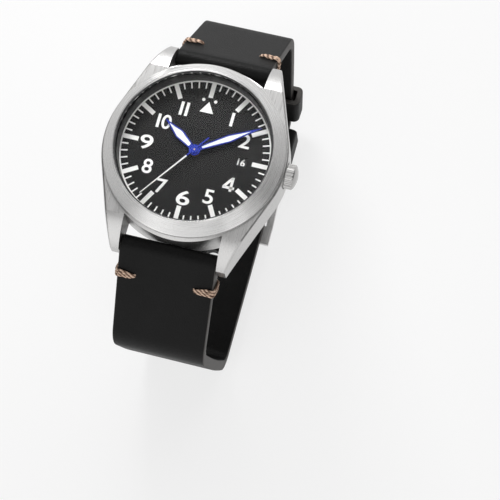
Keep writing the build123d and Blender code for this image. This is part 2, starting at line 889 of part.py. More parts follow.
with BuildPart() as strap_long_drawn:
    with BuildSketch(Plane.YZ) as long_side:
        strap_face(long_legs, strap_thickness)
        fold_face(long_legs)
        with Locations(bar_point):
            Circle(fold_radius)
            Circle(spring_bar_diameter / 2 + bar_clearance, mode=Mode.SUBTRACT)
    extrude(long_side.sketch, amount=strap_lug_width / 2 + overrun, both=True)
    taper_cut()
    tail_corners = strap_long_drawn.edges().filter_by(Axis.Z).group_by(Axis.Y)[0]
    fillet(tail_corners, radius=strap_tip_fillet)
    for number in range(-strap_holes_behind, strap_holes_ahead + 1):
        hole_y, hole_z, hole_heading = pose_at(long_legs, hole_distance - number * strap_hole_pitch)
        outward = (0, -sin(radians(hole_heading)), cos(radians(hole_heading)))
        hole_plane = Plane(origin=(0, hole_y, hole_z), x_dir=(1, 0, 0), z_dir=outward)
        with BuildSketch(hole_plane) as strap_hole:
            SlotOverall(strap_hole_width, strap_hole_length)
        extrude(strap_hole.sketch, amount=strap_thickness, both=True, mode=Mode.SUBTRACT)
with BuildPart() as strap_long:
    mirror(strap_long_drawn.part, about=Plane.XZ)

# Keepers: the fixed one holds both layers, the free one slides up and down the short half's side
tail_outer = long_bottom - strap_thickness / 2
short_inner = bottom_height + strap_thickness / 2
fixed_keeper_y = buckle_bar_place + fixed_keeper_start + fixed_keeper_length / 2
keeper_distance = route_length(strap_legs(0, 0)[:side_leg + 1]) - corner_clearance
_, travel_height, _ = pose_at(short_legs, keeper_distance - free_keeper_length - free_keeper_travel)
keeper_inner_width = strap_width_at(travel_height) + 2 * keeper_side_gap
with BuildPart() as fixed_keeper:
    inner_height = short_inner - tail_outer + 2 * keeper_gap
    with BuildSketch(Plane.XZ.offset(-fixed_keeper_y)) as keeper_band:
        with Locations((0, (short_inner + tail_outer) / 2)):
            RectangleRounded(keeper_inner_width + 2 * keeper_thickness, inner_height + 2 * keeper_thickness,
                             keeper_thickness / 2)
            Rectangle(keeper_inner_width, inner_height, mode=Mode.SUBTRACT)
    extrude(keeper_band.sketch, amount=fixed_keeper_length / 2, both=True)
side_centre = aside(leg_starts(short_legs)[side_leg], -strap_side_radius)
keeper_y, keeper_z, keeper_heading = pose_at(short_legs, keeper_distance)
keeper_plane = Plane(
    origin=(0, keeper_y, keeper_z),
    x_dir=(1, 0, 0),
    z_dir=(0, cos(radians(keeper_heading)), sin(radians(keeper_heading))),
)
with BuildPart() as free_keeper:
    with BuildSketch(keeper_plane) as loop_section:
        free_height = strap_thickness + 2 * keeper_gap
        RectangleRounded(keeper_inner_width + 2 * keeper_thickness, free_height + 2 * keeper_thickness,
                         keeper_thickness / 2)
        Rectangle(keeper_inner_width, free_height, mode=Mode.SUBTRACT)
    revolve(loop_section.sketch, axis=Axis((0, *side_centre), (1, 0, 0)),
            revolution_arc=degrees(free_keeper_length / strap_side_radius))

# Stitches: thread wrapped round both edges at every fold, and two short ones behind the fixed keeper
def edge_stitch(legs, distance, side, thickness, leather):
    # a pair of thread clips round the edges of the leather, on one side of the watch
    pose = pose_at(legs, distance)
    y, z = aside(pose, (strap_thickness - leather) / 2)
    heading = pose[2]
    along = (0, side * cos(radians(heading)), sin(radians(heading)))
    section = Plane(origin=(0, side * y, z), x_dir=(1, 0, 0), z_dir=along)
    inner_width = strap_width_at(z) + 2 * stitch_clearance
    inner_height = leather + 2 * stitch_clearance
    with BuildSketch(section) as clips:
        Rectangle(inner_width + 2 * thickness, inner_height + 2 * thickness)
        Rectangle(inner_width, inner_height, mode=Mode.SUBTRACT)
        Rectangle(inner_width - 2 * stitch_length, 2 * inner_height, mode=Mode.SUBTRACT)
    extrude(clips.sketch, amount=stitch_width / 2, both=True)


with BuildPart() as strap_stitches:
    edge_stitch(short_legs, lug_stitch_place, 1, stitch_thickness, 2 * fold_radius)
    edge_stitch(long_legs, lug_stitch_place, -1, stitch_thickness, 2 * fold_radius)
    edge_stitch(short_legs, route_length(short_legs) - buckle_stitch_place, 1, stitch_flat_thickness,
                strap_thickness)
    seam_distance = route_length(short_legs) - seam_stitch_place
    seam_y, seam_z, seam_heading = pose_at(short_legs, seam_distance)
    seam_out = (0, -sin(radians(seam_heading)), cos(radians(seam_heading)))
    seam_plane = Plane(origin=(0, seam_y, seam_z), x_dir=(1, 0, 0), z_dir=seam_out)
    with BuildSketch(seam_plane.offset(strap_thickness / 2 + stitch_clearance)) as seam_threads:
        with GridLocations(seam_stitch_spread, 0, 2, 1):
            Rectangle(seam_stitch_length, seam_stitch_width)
    extrude(seam_threads.sketch, amount=stitch_flat_thickness / 2)

# Buckle: a frame that swings on its spring bar, and the tang that passes the strap hole
buckle_inner = strap_buckle_width / 2 + buckle_side_gap
buckle_outer = buckle_inner + buckle_arm_thickness
front_y = buckle_bar_place - buckle_front_start
front_end_y = front_y - buckle_front_length
plate_inner = tail_outer - keeper_gap
plate_outer = plate_inner - buckle_plate_thickness
arm_end_radius = buckle_arm_end_diameter / 2
arm_middle_y = (buckle_bar_place + front_y) / 2
arm_low_middle = (pin_height - arm_end_radius + plate_outer) / 2 - buckle_plate_thickness / 2
with BuildPart() as buckle_frame:
    with BuildSketch(Plane.YZ.offset(buckle_inner)) as arm_side:
        with BuildLine():
            arm_far = (buckle_bar_place, pin_height - arm_end_radius)
            arm_near = (buckle_bar_place, pin_height + arm_end_radius)
            ThreePointArc(arm_far, (buckle_bar_place + arm_end_radius, pin_height), arm_near)
            arm_high_middle = arm_low_middle + buckle_arm_height
            ThreePointArc(arm_near, (arm_middle_y, arm_high_middle), (front_y, plate_inner))
            Line((front_y, plate_inner), (front_end_y, plate_inner))
            Line((front_end_y, plate_inner), (front_end_y, plate_outer))
            Line((front_end_y, plate_outer), (front_y, plate_outer))
            ThreePointArc((front_y, plate_outer), (arm_middle_y, arm_low_middle), arm_far)
        make_face()
    extrude(arm_side.sketch, amount=buckle_arm_thickness)
    mirror(about=Plane.YZ)
    with BuildSketch(Plane.XY.offset(plate_outer)) as front_plate:
        with Locations((0, (front_y + front_end_y) / 2)):
            Rectangle(2 * buckle_outer, buckle_front_length)
    extrude(front_plate.sketch, amount=buckle_plate_thickness)
    fillet(buckle_frame.edges().filter_by(Axis.X).group_by(Axis.Y)[0], radius=buckle_front_fillet)
    with BuildSketch(Plane.XY.offset(plate_outer)) as tang_notch:
        with Locations((0, front_y - buckle_notch_length / 2 + overrun / 2)):
            Rectangle(buckle_notch_width, buckle_notch_length + overrun)
    extrude(tang_notch.sketch, amount=buckle_notch_depth, mode=Mode.SUBTRACT)
    with BuildSketch(Plane.YZ) as pin_holes:
        with Locations(pin_point):
            Circle(buckle_bar_tip_diameter / 2 + shaft_clearance)
    extrude(pin_holes.sketch, amount=buckle_outer + overrun, both=True, mode=Mode.SUBTRACT)
buckle_bar = spring_bar(*pin_point, buckle_inner - spring_bar_shoulder_gap, buckle_bar_diameter,
                        buckle_bar_tip_diameter, buckle_arm_thickness)
tang_top = plate_outer + tang_gap
riser_y = buckle_bar_place - tang_riser_place
tang_end = front_y - buckle_notch_length + tang_gap + keeper_gap
with BuildPart() as buckle_tang:
    with BuildSketch(Plane.YZ) as tang_side:
        with Locations(pin_point):
            Circle(tang_ring_diameter / 2)
        with BuildLine():
            Polyline(
                (riser_y - tang_thickness / 2, pin_height),
                (riser_y - tang_thickness / 2, tang_top + tang_thickness),
                (tang_end, tang_top + tang_thickness),
                (tang_end, tang_top),
                (riser_y + tang_thickness / 2, tang_top),
                (riser_y + tang_thickness / 2, pin_height - tang_root_share * tang_ring_diameter),
                (buckle_bar_place, pin_height),
                close=True,
            )
        make_face()
        with Locations(pin_point):
            Circle(buckle_bar_diameter / 2 + shaft_clearance, mode=Mode.SUBTRACT)
    extrude(tang_side.sketch, amount=tang_width / 2, both=True)

# Dial with its date window, and the printed marks as thin raised pads
window_middle = date_window_radius
with BuildPart() as dial:
    plate_ring(dial_bore_diameter / 2, bore_radius - seat_clearance, dial_height, dial_top)
    with BuildSketch(Plane.XY.offset(dial_height)) as date_window:
        with Locations((window_middle, 0)):
            Rectangle(date_window_length, date_window_width)
    extrude(date_window.sketch, amount=dial_thickness, mode=Mode.SUBTRACT)
track_radius = minute_track_diameter / 2
with BuildPart() as dial_marks:
    with BuildSketch(Plane.XY.offset(dial_top)) as marks:
        Circle(track_radius)
        Circle(track_radius - minute_track_width, mode=Mode.SUBTRACT)
        for mark in range(minute_count):
            long_mark = mark % minutes_per_hour_bar == 0
            mark_length = hour_bar_length if long_mark else minute_tick_length
            mark_turn = mark * full_turn / minute_count
            with PolarLocations(track_radius - mark_length / 2, 1, start_angle=mark_turn):
                Rectangle(mark_length, hour_bar_width if long_mark else minute_tick_width)
        with BuildLine():
            Polyline(
                (-triangle_base / 2, triangle_radius - triangle_height / 2),
                (triangle_base / 2, triangle_radius - triangle_height / 2),
                (0, triangle_radius + triangle_height / 2),
                close=True,
            )
        make_face()
        with Locations(*[(side * triangle_dot_offset, triangle_dot_radius) for side in (-1, 1)]):
            Circle(triangle_dot_diameter / 2)
    extrude(marks.sketch, amount=print_thickness)


# Hands: a rimmed blade with a filled middle, pointing along a clock angle
def hand_plane(angle, height):
    return Plane(origin=(0, 0, height), x_dir=(*polar(1, -angle), 0), z_dir=(0, 0, 1))


def blade_half_width(place, length, width, root_width):
    # half the width of a blade at a place between its root and its widest point
    widest = length * blade_widest_share
    return (root_width + (width - root_width) * place / widest) / 2


def blade(length, width, root_width, start, rim):
    # outline points of a blade, or of the window inside its rim
    widest = length * blade_widest_share
    root = blade_half_width(start, length, width, root_width) - rim
    tip = length - rim * (length - widest) * 2 / width
    return ((-root, start), (-(width / 2 - rim), widest), (0, tip), (width / 2 - rim, widest), (root, start))


def rimmed_hand(angle, height, length, width, root_width, bore_diameter):
    # a hand with an open window for its filling
    with BuildPart() as hand:
        with BuildSketch(hand_plane(angle, height)) as hand_face:
            with BuildLine() as hand_edge:
                Polyline(*blade(length, width, root_width, 0, 0), close=True)
            make_face(hand_edge.edges())
            Circle(hand_hub_diameter / 2)
            with BuildLine() as window_edge:
                Polyline(*blade(length, width, root_width, lume_start, hand_rim), close=True)
            make_face(window_edge.edges(), mode=Mode.SUBTRACT)
            Circle(bore_diameter / 2, mode=Mode.SUBTRACT)
        extrude(hand_face.sketch, amount=hand_thickness)
    return hand


def hand_filling(angle, height, length, width, root_width):
    # the pale filling of a hand's window
    with BuildPart() as filling:
        with BuildSketch(hand_plane(angle, height)) as filling_face:
            with BuildLine() as filling_edge:
                Polyline(*blade(length, width, root_width, lume_start + lume_clearance,
                                hand_rim + lume_clearance), close=True)
            make_face(filling_edge.edges())
        extrude(filling_face.sketch, amount=hand_thickness)
    return filling


hour_tube_radius = hour_tube_diameter / 2
hour_hand = rimmed_hand(hour_hand_angle, hour_hand_height, hour_hand_length, hour_hand_width,
                        hour_hand_root_width, hour_tube_diameter + 2 * lume_clearance)
hour_lume = hand_filling(hour_hand_angle, hour_hand_height, hour_hand_length, hour_hand_width,
                         hour_hand_root_width)
minute_hand = rimmed_hand(minute_hand_angle, minute_hand_height, minute_hand_length, minute_hand_width,
                          minute_hand_root_width, cannon_tube_diameter + 2 * lume_clearance)
minute_lume = hand_filling(minute_hand_angle, minute_hand_height, minute_hand_length, minute_hand_width,
                           minute_hand_root_width)
with BuildPart() as seconds_hand:
    with BuildSketch(hand_plane(seconds_hand_angle, seconds_hand_height)) as needle:
        with BuildLine() as needle_edge:
            Polyline(
                (-seconds_hand_width / 2, -seconds_hand_tail),
                (-seconds_hand_width / 2, 0),
                (-seconds_hand_tip_width / 2, seconds_hand_length),
                (seconds_hand_tip_width / 2, seconds_hand_length),
                (seconds_hand_width / 2, 0),
                (seconds_hand_width / 2, -seconds_hand_tail),
                close=True,
            )
        make_face(needle_edge.edges())
        Circle(seconds_hub_diameter / 2)
        Circle(seconds_arbor_diameter / 2 + lume_clearance, mode=Mode.SUBTRACT)
    extrude(needle.sketch, amount=hand_thickness)

# Centres of the movement, on the face of the main plate
third_distance = (centre_wheel_teeth + third_pinion_leaves) * centre_wheel_module / 2
third_wheel_module = 2 * third_distance / (third_wheel_teeth + fourth_pinion_leaves)
escape_distance = (fourth_wheel_teeth + escape_pinion_leaves) * fourth_wheel_module / 2
barrel_distance = (barrel_teeth + centre_pinion_leaves) * barrel_module / 2
motion_distance = (cannon_leaves + minute_wheel_teeth) * cannon_module / 2
hour_wheel_module = 2 * motion_distance / (hour_wheel_teeth + minute_pinion_leaves)
reverser_distance = (rotor_pinion_teeth + reverser_teeth) * reverser_module / 2
middle = (0, 0)
third_centre = polar(third_distance, third_direction)
escape_centre = polar(escape_distance, escape_direction)
barrel_centre = polar(barrel_distance, barrel_direction)
minute_centre = polar(motion_distance, motion_direction)
reverser_centres = [polar(reverser_distance, direction) for direction in reverser_directions]
pallet_centre = (pallet_x, pallet_y)
balance_centre = (balance_x, balance_y)
cock_foot = (cock_foot_x, cock_foot_y)
winding_distance = (ratchet_teeth + crown_wheel_teeth) * winding_module / 2
crown_wheel_y = barrel_centre[1] - sqrt(winding_distance ** 2 - (crown_wheel_x - barrel_centre[0]) ** 2)
crown_wheel_centre = (crown_wheel_x, crown_wheel_y)
lever_pin_x = stem_groove_place + stem_groove_width / 2
lever_pivot = (lever_pin_x + crown_travel / 2, setting_lever_pivot_y)
posts = (auto_post_right, auto_post_left, auto_post_low)
arbor_radius = arbor_diameter / 2
pivot_radius = pivot_diameter / 2
screw_radius = screw_circle_diameter / 2
barrel_screws = [polar(screw_radius, direction) for direction in barrel_screw_directions]
train_screws = [polar(screw_radius, direction) for direction in train_screw_directions]
head_radius = screw_head_diameter / 2
shank_radius = screw_shank_diameter / 2
pivot_low = bridge_low + shaft_clearance
pivot_high = main_plate_low + jewel_thickness


def mesh_phase(teeth, phase, other_teeth, direction):
    # phase that puts the other wheel's gap on this wheel's tooth, along the line of centres
    share = (direction - phase) * teeth / full_turn
    return direction + half_turn - (1 / 2 - share) * full_turn / other_teeth


def arbor(centre, low, high):
    # adds a round arbor with a thin pivot at both ends
    plate_ring(0, arbor_radius, low, high, centre)
    plate_ring(0, pivot_radius, pivot_low, pivot_high, centre)


def spoke_windows(centre, inner, outer, low, high, count):
    # opens a wheel between its hub, spokes and rim
    with BuildSketch(Plane.XY.offset(low)) as windows:
        with Locations(centre):
            Circle(outer)
            Circle(inner, mode=Mode.SUBTRACT)
            with PolarLocations(0, count):
                Rectangle(2 * outer + overrun, inner / 2, mode=Mode.SUBTRACT)
    extrude(windows.sketch, amount=high - low, mode=Mode.SUBTRACT)


# Going train: the centre tube carries the cannon pinion, and the seconds arbor runs inside it
with BuildPart() as centre_wheel:
    centre_pitch = centre_wheel_teeth * centre_wheel_module / 2
    toothed_disc(centre_wheel_teeth, centre_wheel_module, centre_wheel_low, centre_wheel_high, middle, 0)
    spoke_windows(middle, centre_pinion_leaves * barrel_module / 2, centre_pitch * spoke_window_share,
                  centre_wheel_low, centre_wheel_high, 2)
    toothed_disc(centre_pinion_leaves, barrel_module, centre_wheel_high, barrel_teeth_high + gear_gap, middle,
                 barrel_direction)
    plate_ring(0, centre_tube_diameter / 2, centre_wheel_low, centre_tube_high)
    bore(centre_tube_bore / 2, centre_wheel_low - overrun, centre_tube_high + overrun)
with BuildPart() as third_wheel:
    toothed_disc(third_wheel_teeth, third_wheel_module, third_wheel_low, third_wheel_high, third_centre, 0)
    spoke_windows(third_centre, third_pinion_leaves * centre_wheel_module,
                  third_wheel_teeth * third_wheel_module / 2 * spoke_window_share, third_wheel_low,
                  third_wheel_high, 2)
    toothed_disc(third_pinion_leaves, centre_wheel_module, third_wheel_high, centre_wheel_high + gear_gap,
                 third_centre, mesh_phase(centre_wheel_teeth, 0, third_pinion_leaves, third_direction))
    arbor(third_centre, bridge_high + gear_gap, main_plate_low - gear_gap)
with BuildPart() as fourth_wheel:
    toothed_disc(fourth_wheel_teeth, fourth_wheel_module, fourth_wheel_low, fourth_wheel_high, middle, 0)
    spoke_windows(middle, fourth_pinion_leaves * third_wheel_module,
                  fourth_wheel_teeth * fourth_wheel_module / 2 * spoke_window_share, fourth_wheel_low,
                  fourth_wheel_high, 2)
    fourth_phase = mesh_phase(third_wheel_teeth, 0, fourth_pinion_leaves, third_direction + half_turn)
    toothed_disc(fourth_pinion_leaves, third_wheel_module, fourth_wheel_high,
                 third_wheel_high + shaft_clearance, middle, fourth_phase)
    plate_ring(0, seconds_arbor_diameter / 2, pivot_low, seconds_hand_height + hand_thickness)
with BuildPart() as escape_wheel:
    escape_points = []
    for tooth in range(escape_teeth):
        escape_points.append(polar(escape_root_diameter / 2, tooth * full_turn / escape_teeth))
        for share in (escape_lean_share, escape_tip_share):
            escape_points.append(polar(escape_diameter / 2, (tooth + share) * full_turn / escape_teeth))
    flat_shape(escape_points, escape_centre, escape_wheel_low, escape_wheel_high)
    spoke_windows(escape_centre, arbor_diameter, escape_root_diameter / 2 * spoke_window_share,
                  escape_wheel_low, escape_wheel_high, 2)
    escape_phase = mesh_phase(fourth_wheel_teeth, 0, escape_pinion_leaves, escape_direction)
    toothed_disc(escape_pinion_leaves, fourth_wheel_module, bridge_high + gear_gap,
                 fourth_wheel_high + gear_gap, escape_centre, escape_phase)
    arbor(escape_centre, fourth_wheel_high, main_plate_low - gear_gap)
barrel_pitch = barrel_teeth * barrel_module / 2
drum_radius = barrel_pitch - 2 * barrel_module
barrel_arbor_radius = barrel_arbor_diameter / 2
with BuildPart() as barrel:
    toothed_disc(barrel_teeth, barrel_module, barrel_low, barrel_teeth_high, barrel_centre,
                 mesh_phase(centre_pinion_leaves, barrel_direction, barrel_teeth, barrel_direction))
    plate_ring(drum_radius - barrel_wall, drum_radius, barrel_teeth_high, barrel_high, barrel_centre)
    bore(barrel_arbor_radius + shaft_clearance, barrel_low, barrel_teeth_high, barrel_centre)


def spiral_points(inner, outer, turns, wire):
    # a flat strip wound outwards: the outer side of every turn, then the inner side back again
    steps = turns * spiral_steps
    rise = (outer - inner) / steps
    angle = full_turn / spiral_steps
    there = [polar(inner + wire + rise * count, count * angle) for count in range(steps + 1)]
    back = [polar(inner + rise * count, count * angle) for count in range(steps, -1, -1)]
    return there + back


with BuildPart() as mainspring:
    flat_shape(spiral_points(barrel_arbor_radius + gear_gap,
                             drum_radius - barrel_wall - 2 * gear_gap - mainspring_strip,
                             mainspring_turns, mainspring_strip),
               barrel_centre, barrel_teeth_high + gear_gap, barrel_high - gear_gap)

# Escapement: fork with two stones, its bridge, balance with hairspring, and the cock
fork_direction = degrees(atan2(balance_y - pallet_y, balance_x - pallet_x))
fork_length = hypot(balance_x - pallet_x, balance_y - pallet_y) - roller_diameter / 2 - fork_gap
stone_ring = escape_diameter / 2 + pallet_stone_gap + pallet_stone_size / 2
wheel_to_fork = degrees(atan2(pallet_y - escape_centre[1], pallet_x - escape_centre[0]))


def bar_face(start, end, width):
    # a straight bar with round ends between two points, in the sketch being built
    length = hypot(end[0] - start[0], end[1] - start[1])
    direction = degrees(atan2(end[1] - start[1], end[0] - start[0]))
    with Locations(Location(((start[0] + end[0]) / 2, (start[1] + end[1]) / 2), direction)):
        SlotCenterToCenter(length, width)


with BuildPart() as pallet_fork:
    with BuildSketch(Plane.XY.offset(pallet_low)) as fork_face:
        fork_tip = polar(fork_length, fork_direction)
        bar_face(pallet_centre, (pallet_x + fork_tip[0], pallet_y + fork_tip[1]), pallet_arm_width)
        for turn in (-pallet_stone_angle, pallet_stone_angle):
            stone = polar(stone_ring, wheel_to_fork + turn)
            stone_place = (escape_centre[0] + stone[0], escape_centre[1] + stone[1])
            bar_face(pallet_centre, stone_place, pallet_stone_size)
    extrude(fork_face.sketch, amount=pallet_high - pallet_low)
    plate_ring(0, arbor_radius, pallet_bridge_high + gear_gap, main_plate_low - gear_gap, pallet_centre)
    plate_ring(0, pivot_radius, pallet_bridge_low + gear_gap, pivot_high, pallet_centre)
bridge_foot = (pallet_x + polar(pallet_bridge_length, pallet_bridge_direction)[0],
               pallet_y + polar(pallet_bridge_length, pallet_bridge_direction)[1])
with BuildPart() as pallet_bridge:
    with BuildSketch(Plane.XY.offset(pallet_bridge_low)) as pallet_bridge_face:
        bar_face(pallet_centre, bridge_foot, pallet_bridge_width)
    extrude(pallet_bridge_face.sketch, amount=pallet_bridge_high - pallet_bridge_low)
    plate_ring(0, pallet_bridge_width / 2, pallet_bridge_high, main_plate_low, bridge_foot)
    bore(pivot_radius + shaft_clearance, pallet_bridge_low, pallet_bridge_high, pallet_centre)
balance_radius = balance_diameter / 2
with BuildPart() as balance:
    plate_ring(balance_radius - balance_rim_width, balance_radius, balance_low, balance_high, balance_centre)
    with BuildSketch(Plane.XY.offset(balance_low)) as balance_arms:
        with Locations(balance_centre):
            with PolarLocations(0, balance_arm_count):
                with Locations((balance_radius / 2, 0)):
                    Rectangle(balance_radius - balance_rim_width / 2, balance_arm_width)
            Circle(roller_diameter / 2)
    extrude(balance_arms.sketch, amount=(balance_high - balance_low) / 2)
    plate_ring(0, arbor_radius, hairspring_low, main_plate_low - gear_gap, balance_centre)
    plate_ring(0, hairspring_inner, hairspring_low, hairspring_high, balance_centre)
    plate_ring(0, pivot_radius, cock_low + gear_gap, pivot_high, balance_centre)
    plate_ring(0, roller_diameter / 2, pallet_low - pallet_stone_size, pallet_low - gear_gap, balance_centre)
    pin = polar(roller_diameter / 2 - pivot_radius, fork_direction + half_turn)
    pin_place = (balance_x + pin[0], balance_y + pin[1])
    plate_ring(0, pivot_radius, pallet_low - pallet_stone_size, pallet_low - gear_gap, pin_place)
with BuildPart() as hairspring:
    hairspring_coil = spiral_points(hairspring_inner + seat_clearance, hairspring_outer, hairspring_turns,
                                    hairspring_wire)
    flat_shape(hairspring_coil, balance_centre, hairspring_low, hairspring_high)
with BuildPart() as balance_cock:
    with BuildSketch(Plane.XY.offset(cock_low)) as cock_face:
        bar_face(balance_centre, cock_foot, cock_arm_width)
    extrude(cock_face.sketch, amount=cock_high - cock_low)
    plate_ring(0, cock_foot_diameter / 2, cock_low, bridge_high, cock_foot)
    bore(jewel_diameter / 2 + seat_clearance, cock_low, cock_high, balance_centre)
    bore(screw_head_diameter / 2 + seat_clearance, cock_low, cock_low + screw_head_height, cock_foot)
    bore(screw_shank_diameter / 2 + seat_clearance, cock_low, bridge_high, cock_foot)

# Main plate: a disc with a wall towards the back, and pockets for the barrel and the winding work
plate_bottom = movement_radius - main_plate_wall
pinion_radius = winding_pinion_module * (winding_pinion_teeth / 2 + tooth_addendum_share)
with BuildPart() as main_plate:
    plate_ring(0, movement_radius, main_plate_low, main_plate_high)
    plate_ring(plate_bottom, movement_radius, bridge_high, main_plate_low)
    date_rim = date_disc_inner / 2
    plate_ring(date_rim - date_rim_wall, date_rim - gear_gap, main_plate_high, date_disc_high)
    plate_ring(0, pivot_diameter, main_plate_high, hour_wheel_high, minute_centre)
    barrel_reach = barrel_pitch + tooth_addendum_share * barrel_module
    bore(barrel_reach + pocket_gap, bridge_high, barrel_high + gear_gap, barrel_centre)
    bore(balance_radius + pocket_gap, bridge_high, balance_high + pocket_gap, balance_centre)
    plate_jewel_low = main_plate_high - jewel_thickness
    bore(barrel_arbor_radius / 2 + shaft_clearance, main_plate_low, plate_jewel_low, barrel_centre)
    bore(centre_tube_diameter / 2 + shaft_clearance, main_plate_low, main_plate_high)
    for centre in (third_centre, escape_centre, pallet_centre, balance_centre):
        bore(pivot_radius + shaft_clearance, main_plate_low, pivot_high + gear_gap, centre)
    bore(arbor_radius + shaft_clearance, main_plate_low, pivot_high + gear_gap, lever_pivot)
    for place in barrel_screws + train_screws + [cock_foot]:
        bore(shank_radius + seat_clearance, bridge_high, bridge_low + screw_depth + gear_gap, place)
    with BuildSketch(Plane.XY.offset(bridge_high)) as lever_pocket:
        with Locations((lever_pivot[0], lever_pivot[1] / 2)):
            Rectangle(crown_travel + setting_lever_width + 2 * pocket_gap,
                      lever_pivot[1] + setting_lever_width + 2 * pocket_gap)
    extrude(lever_pocket.sketch, amount=lever_pocket_high - bridge_high, mode=Mode.SUBTRACT)
    with BuildSketch(stem_plane.offset(stem_inner_end - pocket_gap)) as clutch_room:
        Circle(clutch_diameter / 2 + pocket_gap)
    extrude(clutch_room.sketch, amount=winding_pinion_low - stem_inner_end, mode=Mode.SUBTRACT)
    with BuildSketch(stem_plane.offset(winding_pinion_low - pocket_gap)) as pinion_room:
        Circle(pinion_radius + pocket_gap)
    pinion_room_length = winding_pinion_high - winding_pinion_low + 2 * pocket_gap
    extrude(pinion_room.sketch, amount=pinion_room_length, mode=Mode.SUBTRACT)
    with BuildSketch(stem_plane.offset(winding_pinion_high)) as stem_room:
        Circle(stem_diameter / 2 + shaft_clearance)
    extrude(stem_room.sketch, amount=movement_radius, mode=Mode.SUBTRACT)

# Bridges: one over the barrel, one over the train, with an opening for the balance


def screw_seats(places, low):
    # sinks a head seat and a shank hole at every place
    for place in places:
        bore(head_radius + seat_clearance, low, low + screw_head_height, place)
        bore(shank_radius + seat_clearance, low, low + screw_depth, place)


def half_disc(radius, side):
    # the part of a disc on one side of the split, in the sketch being built
    Circle(radius)
    with Locations((0, split_place - side * (radius - bridge_split / 2))):
        Rectangle(2 * radius + overrun, 2 * radius, mode=Mode.SUBTRACT)


with BuildPart() as barrel_bridge:
    with BuildSketch(Plane.XY.offset(bridge_low)) as barrel_bridge_face:
        half_disc(bridge_diameter / 2, 1)
    extrude(barrel_bridge_face.sketch, amount=bridge_high - bridge_low)
    bore(barrel_arbor_radius + shaft_clearance, bridge_low, bridge_high, barrel_centre)
    bore(crown_wheel_pipe_diameter / 2 + shaft_clearance, bridge_low, bridge_high, crown_wheel_centre)
    bore(arbor_radius + shaft_clearance, bridge_low, bridge_high, (click_x, click_y))
    screw_seats(barrel_screws, bridge_low)
    bore(shank_radius + seat_clearance, bridge_low, bridge_high, auto_post_left)
with BuildPart() as train_bridge:
    with BuildSketch(Plane.XY.offset(bridge_low)) as train_bridge_face:
        half_disc(bridge_diameter / 2, -1)
        with Locations(balance_centre):
            Circle(balance_opening_diameter / 2, mode=Mode.SUBTRACT)
        with Locations(cock_foot):
            Circle(cock_foot_diameter / 2 + pocket_gap, mode=Mode.SUBTRACT)
    extrude(train_bridge_face.sketch, amount=bridge_high - bridge_low)
    for centre in (middle, third_centre, escape_centre):
        bore(jewel_diameter / 2, bridge_low, bridge_low + jewel_thickness, centre)
        bore(pivot_radius + shaft_clearance, bridge_low, bridge_high, centre)
    screw_seats(train_screws, bridge_low)
    for place in (auto_post_right, auto_post_low):
        bore(shank_radius + seat_clearance, bridge_low, bridge_high, place)
    for centre in reverser_centres:
        bore(arbor_radius + shaft_clearance, bridge_low, bridge_low + jewel_thickness, centre)
with BuildPart() as jewels:
    for centre in (middle, third_centre, escape_centre):
        plate_ring(pivot_radius + shaft_clearance, jewel_diameter / 2 - seat_clearance, bridge_low,
                   bridge_low + jewel_thickness - seat_clearance, centre)
    plate_ring(pivot_radius + shaft_clearance, jewel_diameter / 2, cock_low, cock_high, balance_centre)

# Winding work: arbor, ratchet wheel, crown wheel, click, and the sliding work on the stem
with BuildPart() as barrel_arbor:
    plate_ring(0, barrel_arbor_radius, winding_wheel_low, barrel_high, barrel_centre)
    arbor_top = main_plate_high - jewel_thickness - gear_gap
    plate_ring(0, barrel_arbor_radius / 2, barrel_high, arbor_top, barrel_centre)
ratchet_to_crown = degrees(atan2(crown_wheel_y - barrel_centre[1], crown_wheel_x - barrel_centre[0]))
with BuildPart() as ratchet_wheel:
    toothed_disc(ratchet_teeth, winding_module, winding_wheel_low, winding_wheel_high, barrel_centre,
                 ratchet_to_crown)
    bore(barrel_arbor_radius + seat_clearance, winding_wheel_low, winding_wheel_high, barrel_centre)
with BuildPart() as crown_wheel:
    toothed_disc(crown_wheel_teeth, winding_module, winding_wheel_low, winding_wheel_high, crown_wheel_centre,
                 mesh_phase(ratchet_teeth, ratchet_to_crown, crown_wheel_teeth, ratchet_to_crown))
    plate_ring(0, crown_wheel_pipe_diameter / 2, winding_wheel_low, bridge_high, crown_wheel_centre)
click_start = (click_x, click_y)
click_from_barrel = degrees(atan2(click_y - barrel_centre[1], click_x - barrel_centre[0]))
click_reach = winding_module * (ratchet_teeth / 2 + tooth_addendum_share) + click_width / 2 + gear_gap
click_offset = polar(click_reach, click_from_barrel + click_turn)
click_end = (barrel_centre[0] + click_offset[0], barrel_centre[1] + click_offset[1])
with BuildPart() as click:
    with BuildSketch(Plane.XY.offset(winding_wheel_low)) as click_face:
        bar_face(click_start, click_end, click_width)
        with Locations(click_start):
            Circle(click_width)
    extrude(click_face.sketch, amount=winding_wheel_high - winding_wheel_low)
    plate_ring(0, arbor_radius, winding_wheel_high, bridge_high, click_start)
with BuildPart() as winding_pinion:
    with BuildSketch(stem_plane.offset(winding_pinion_low)) as pinion_face:
        with BuildLine():
            Polyline(*tooth_points(winding_pinion_teeth, winding_pinion_module, 0), close=True)
        make_face()
        Circle(stem_diameter / 2 + shaft_clearance, mode=Mode.SUBTRACT)
    extrude(pinion_face.sketch, amount=winding_pinion_high - winding_pinion_low)
clutch_middle = (clutch_low + clutch_high) / 2
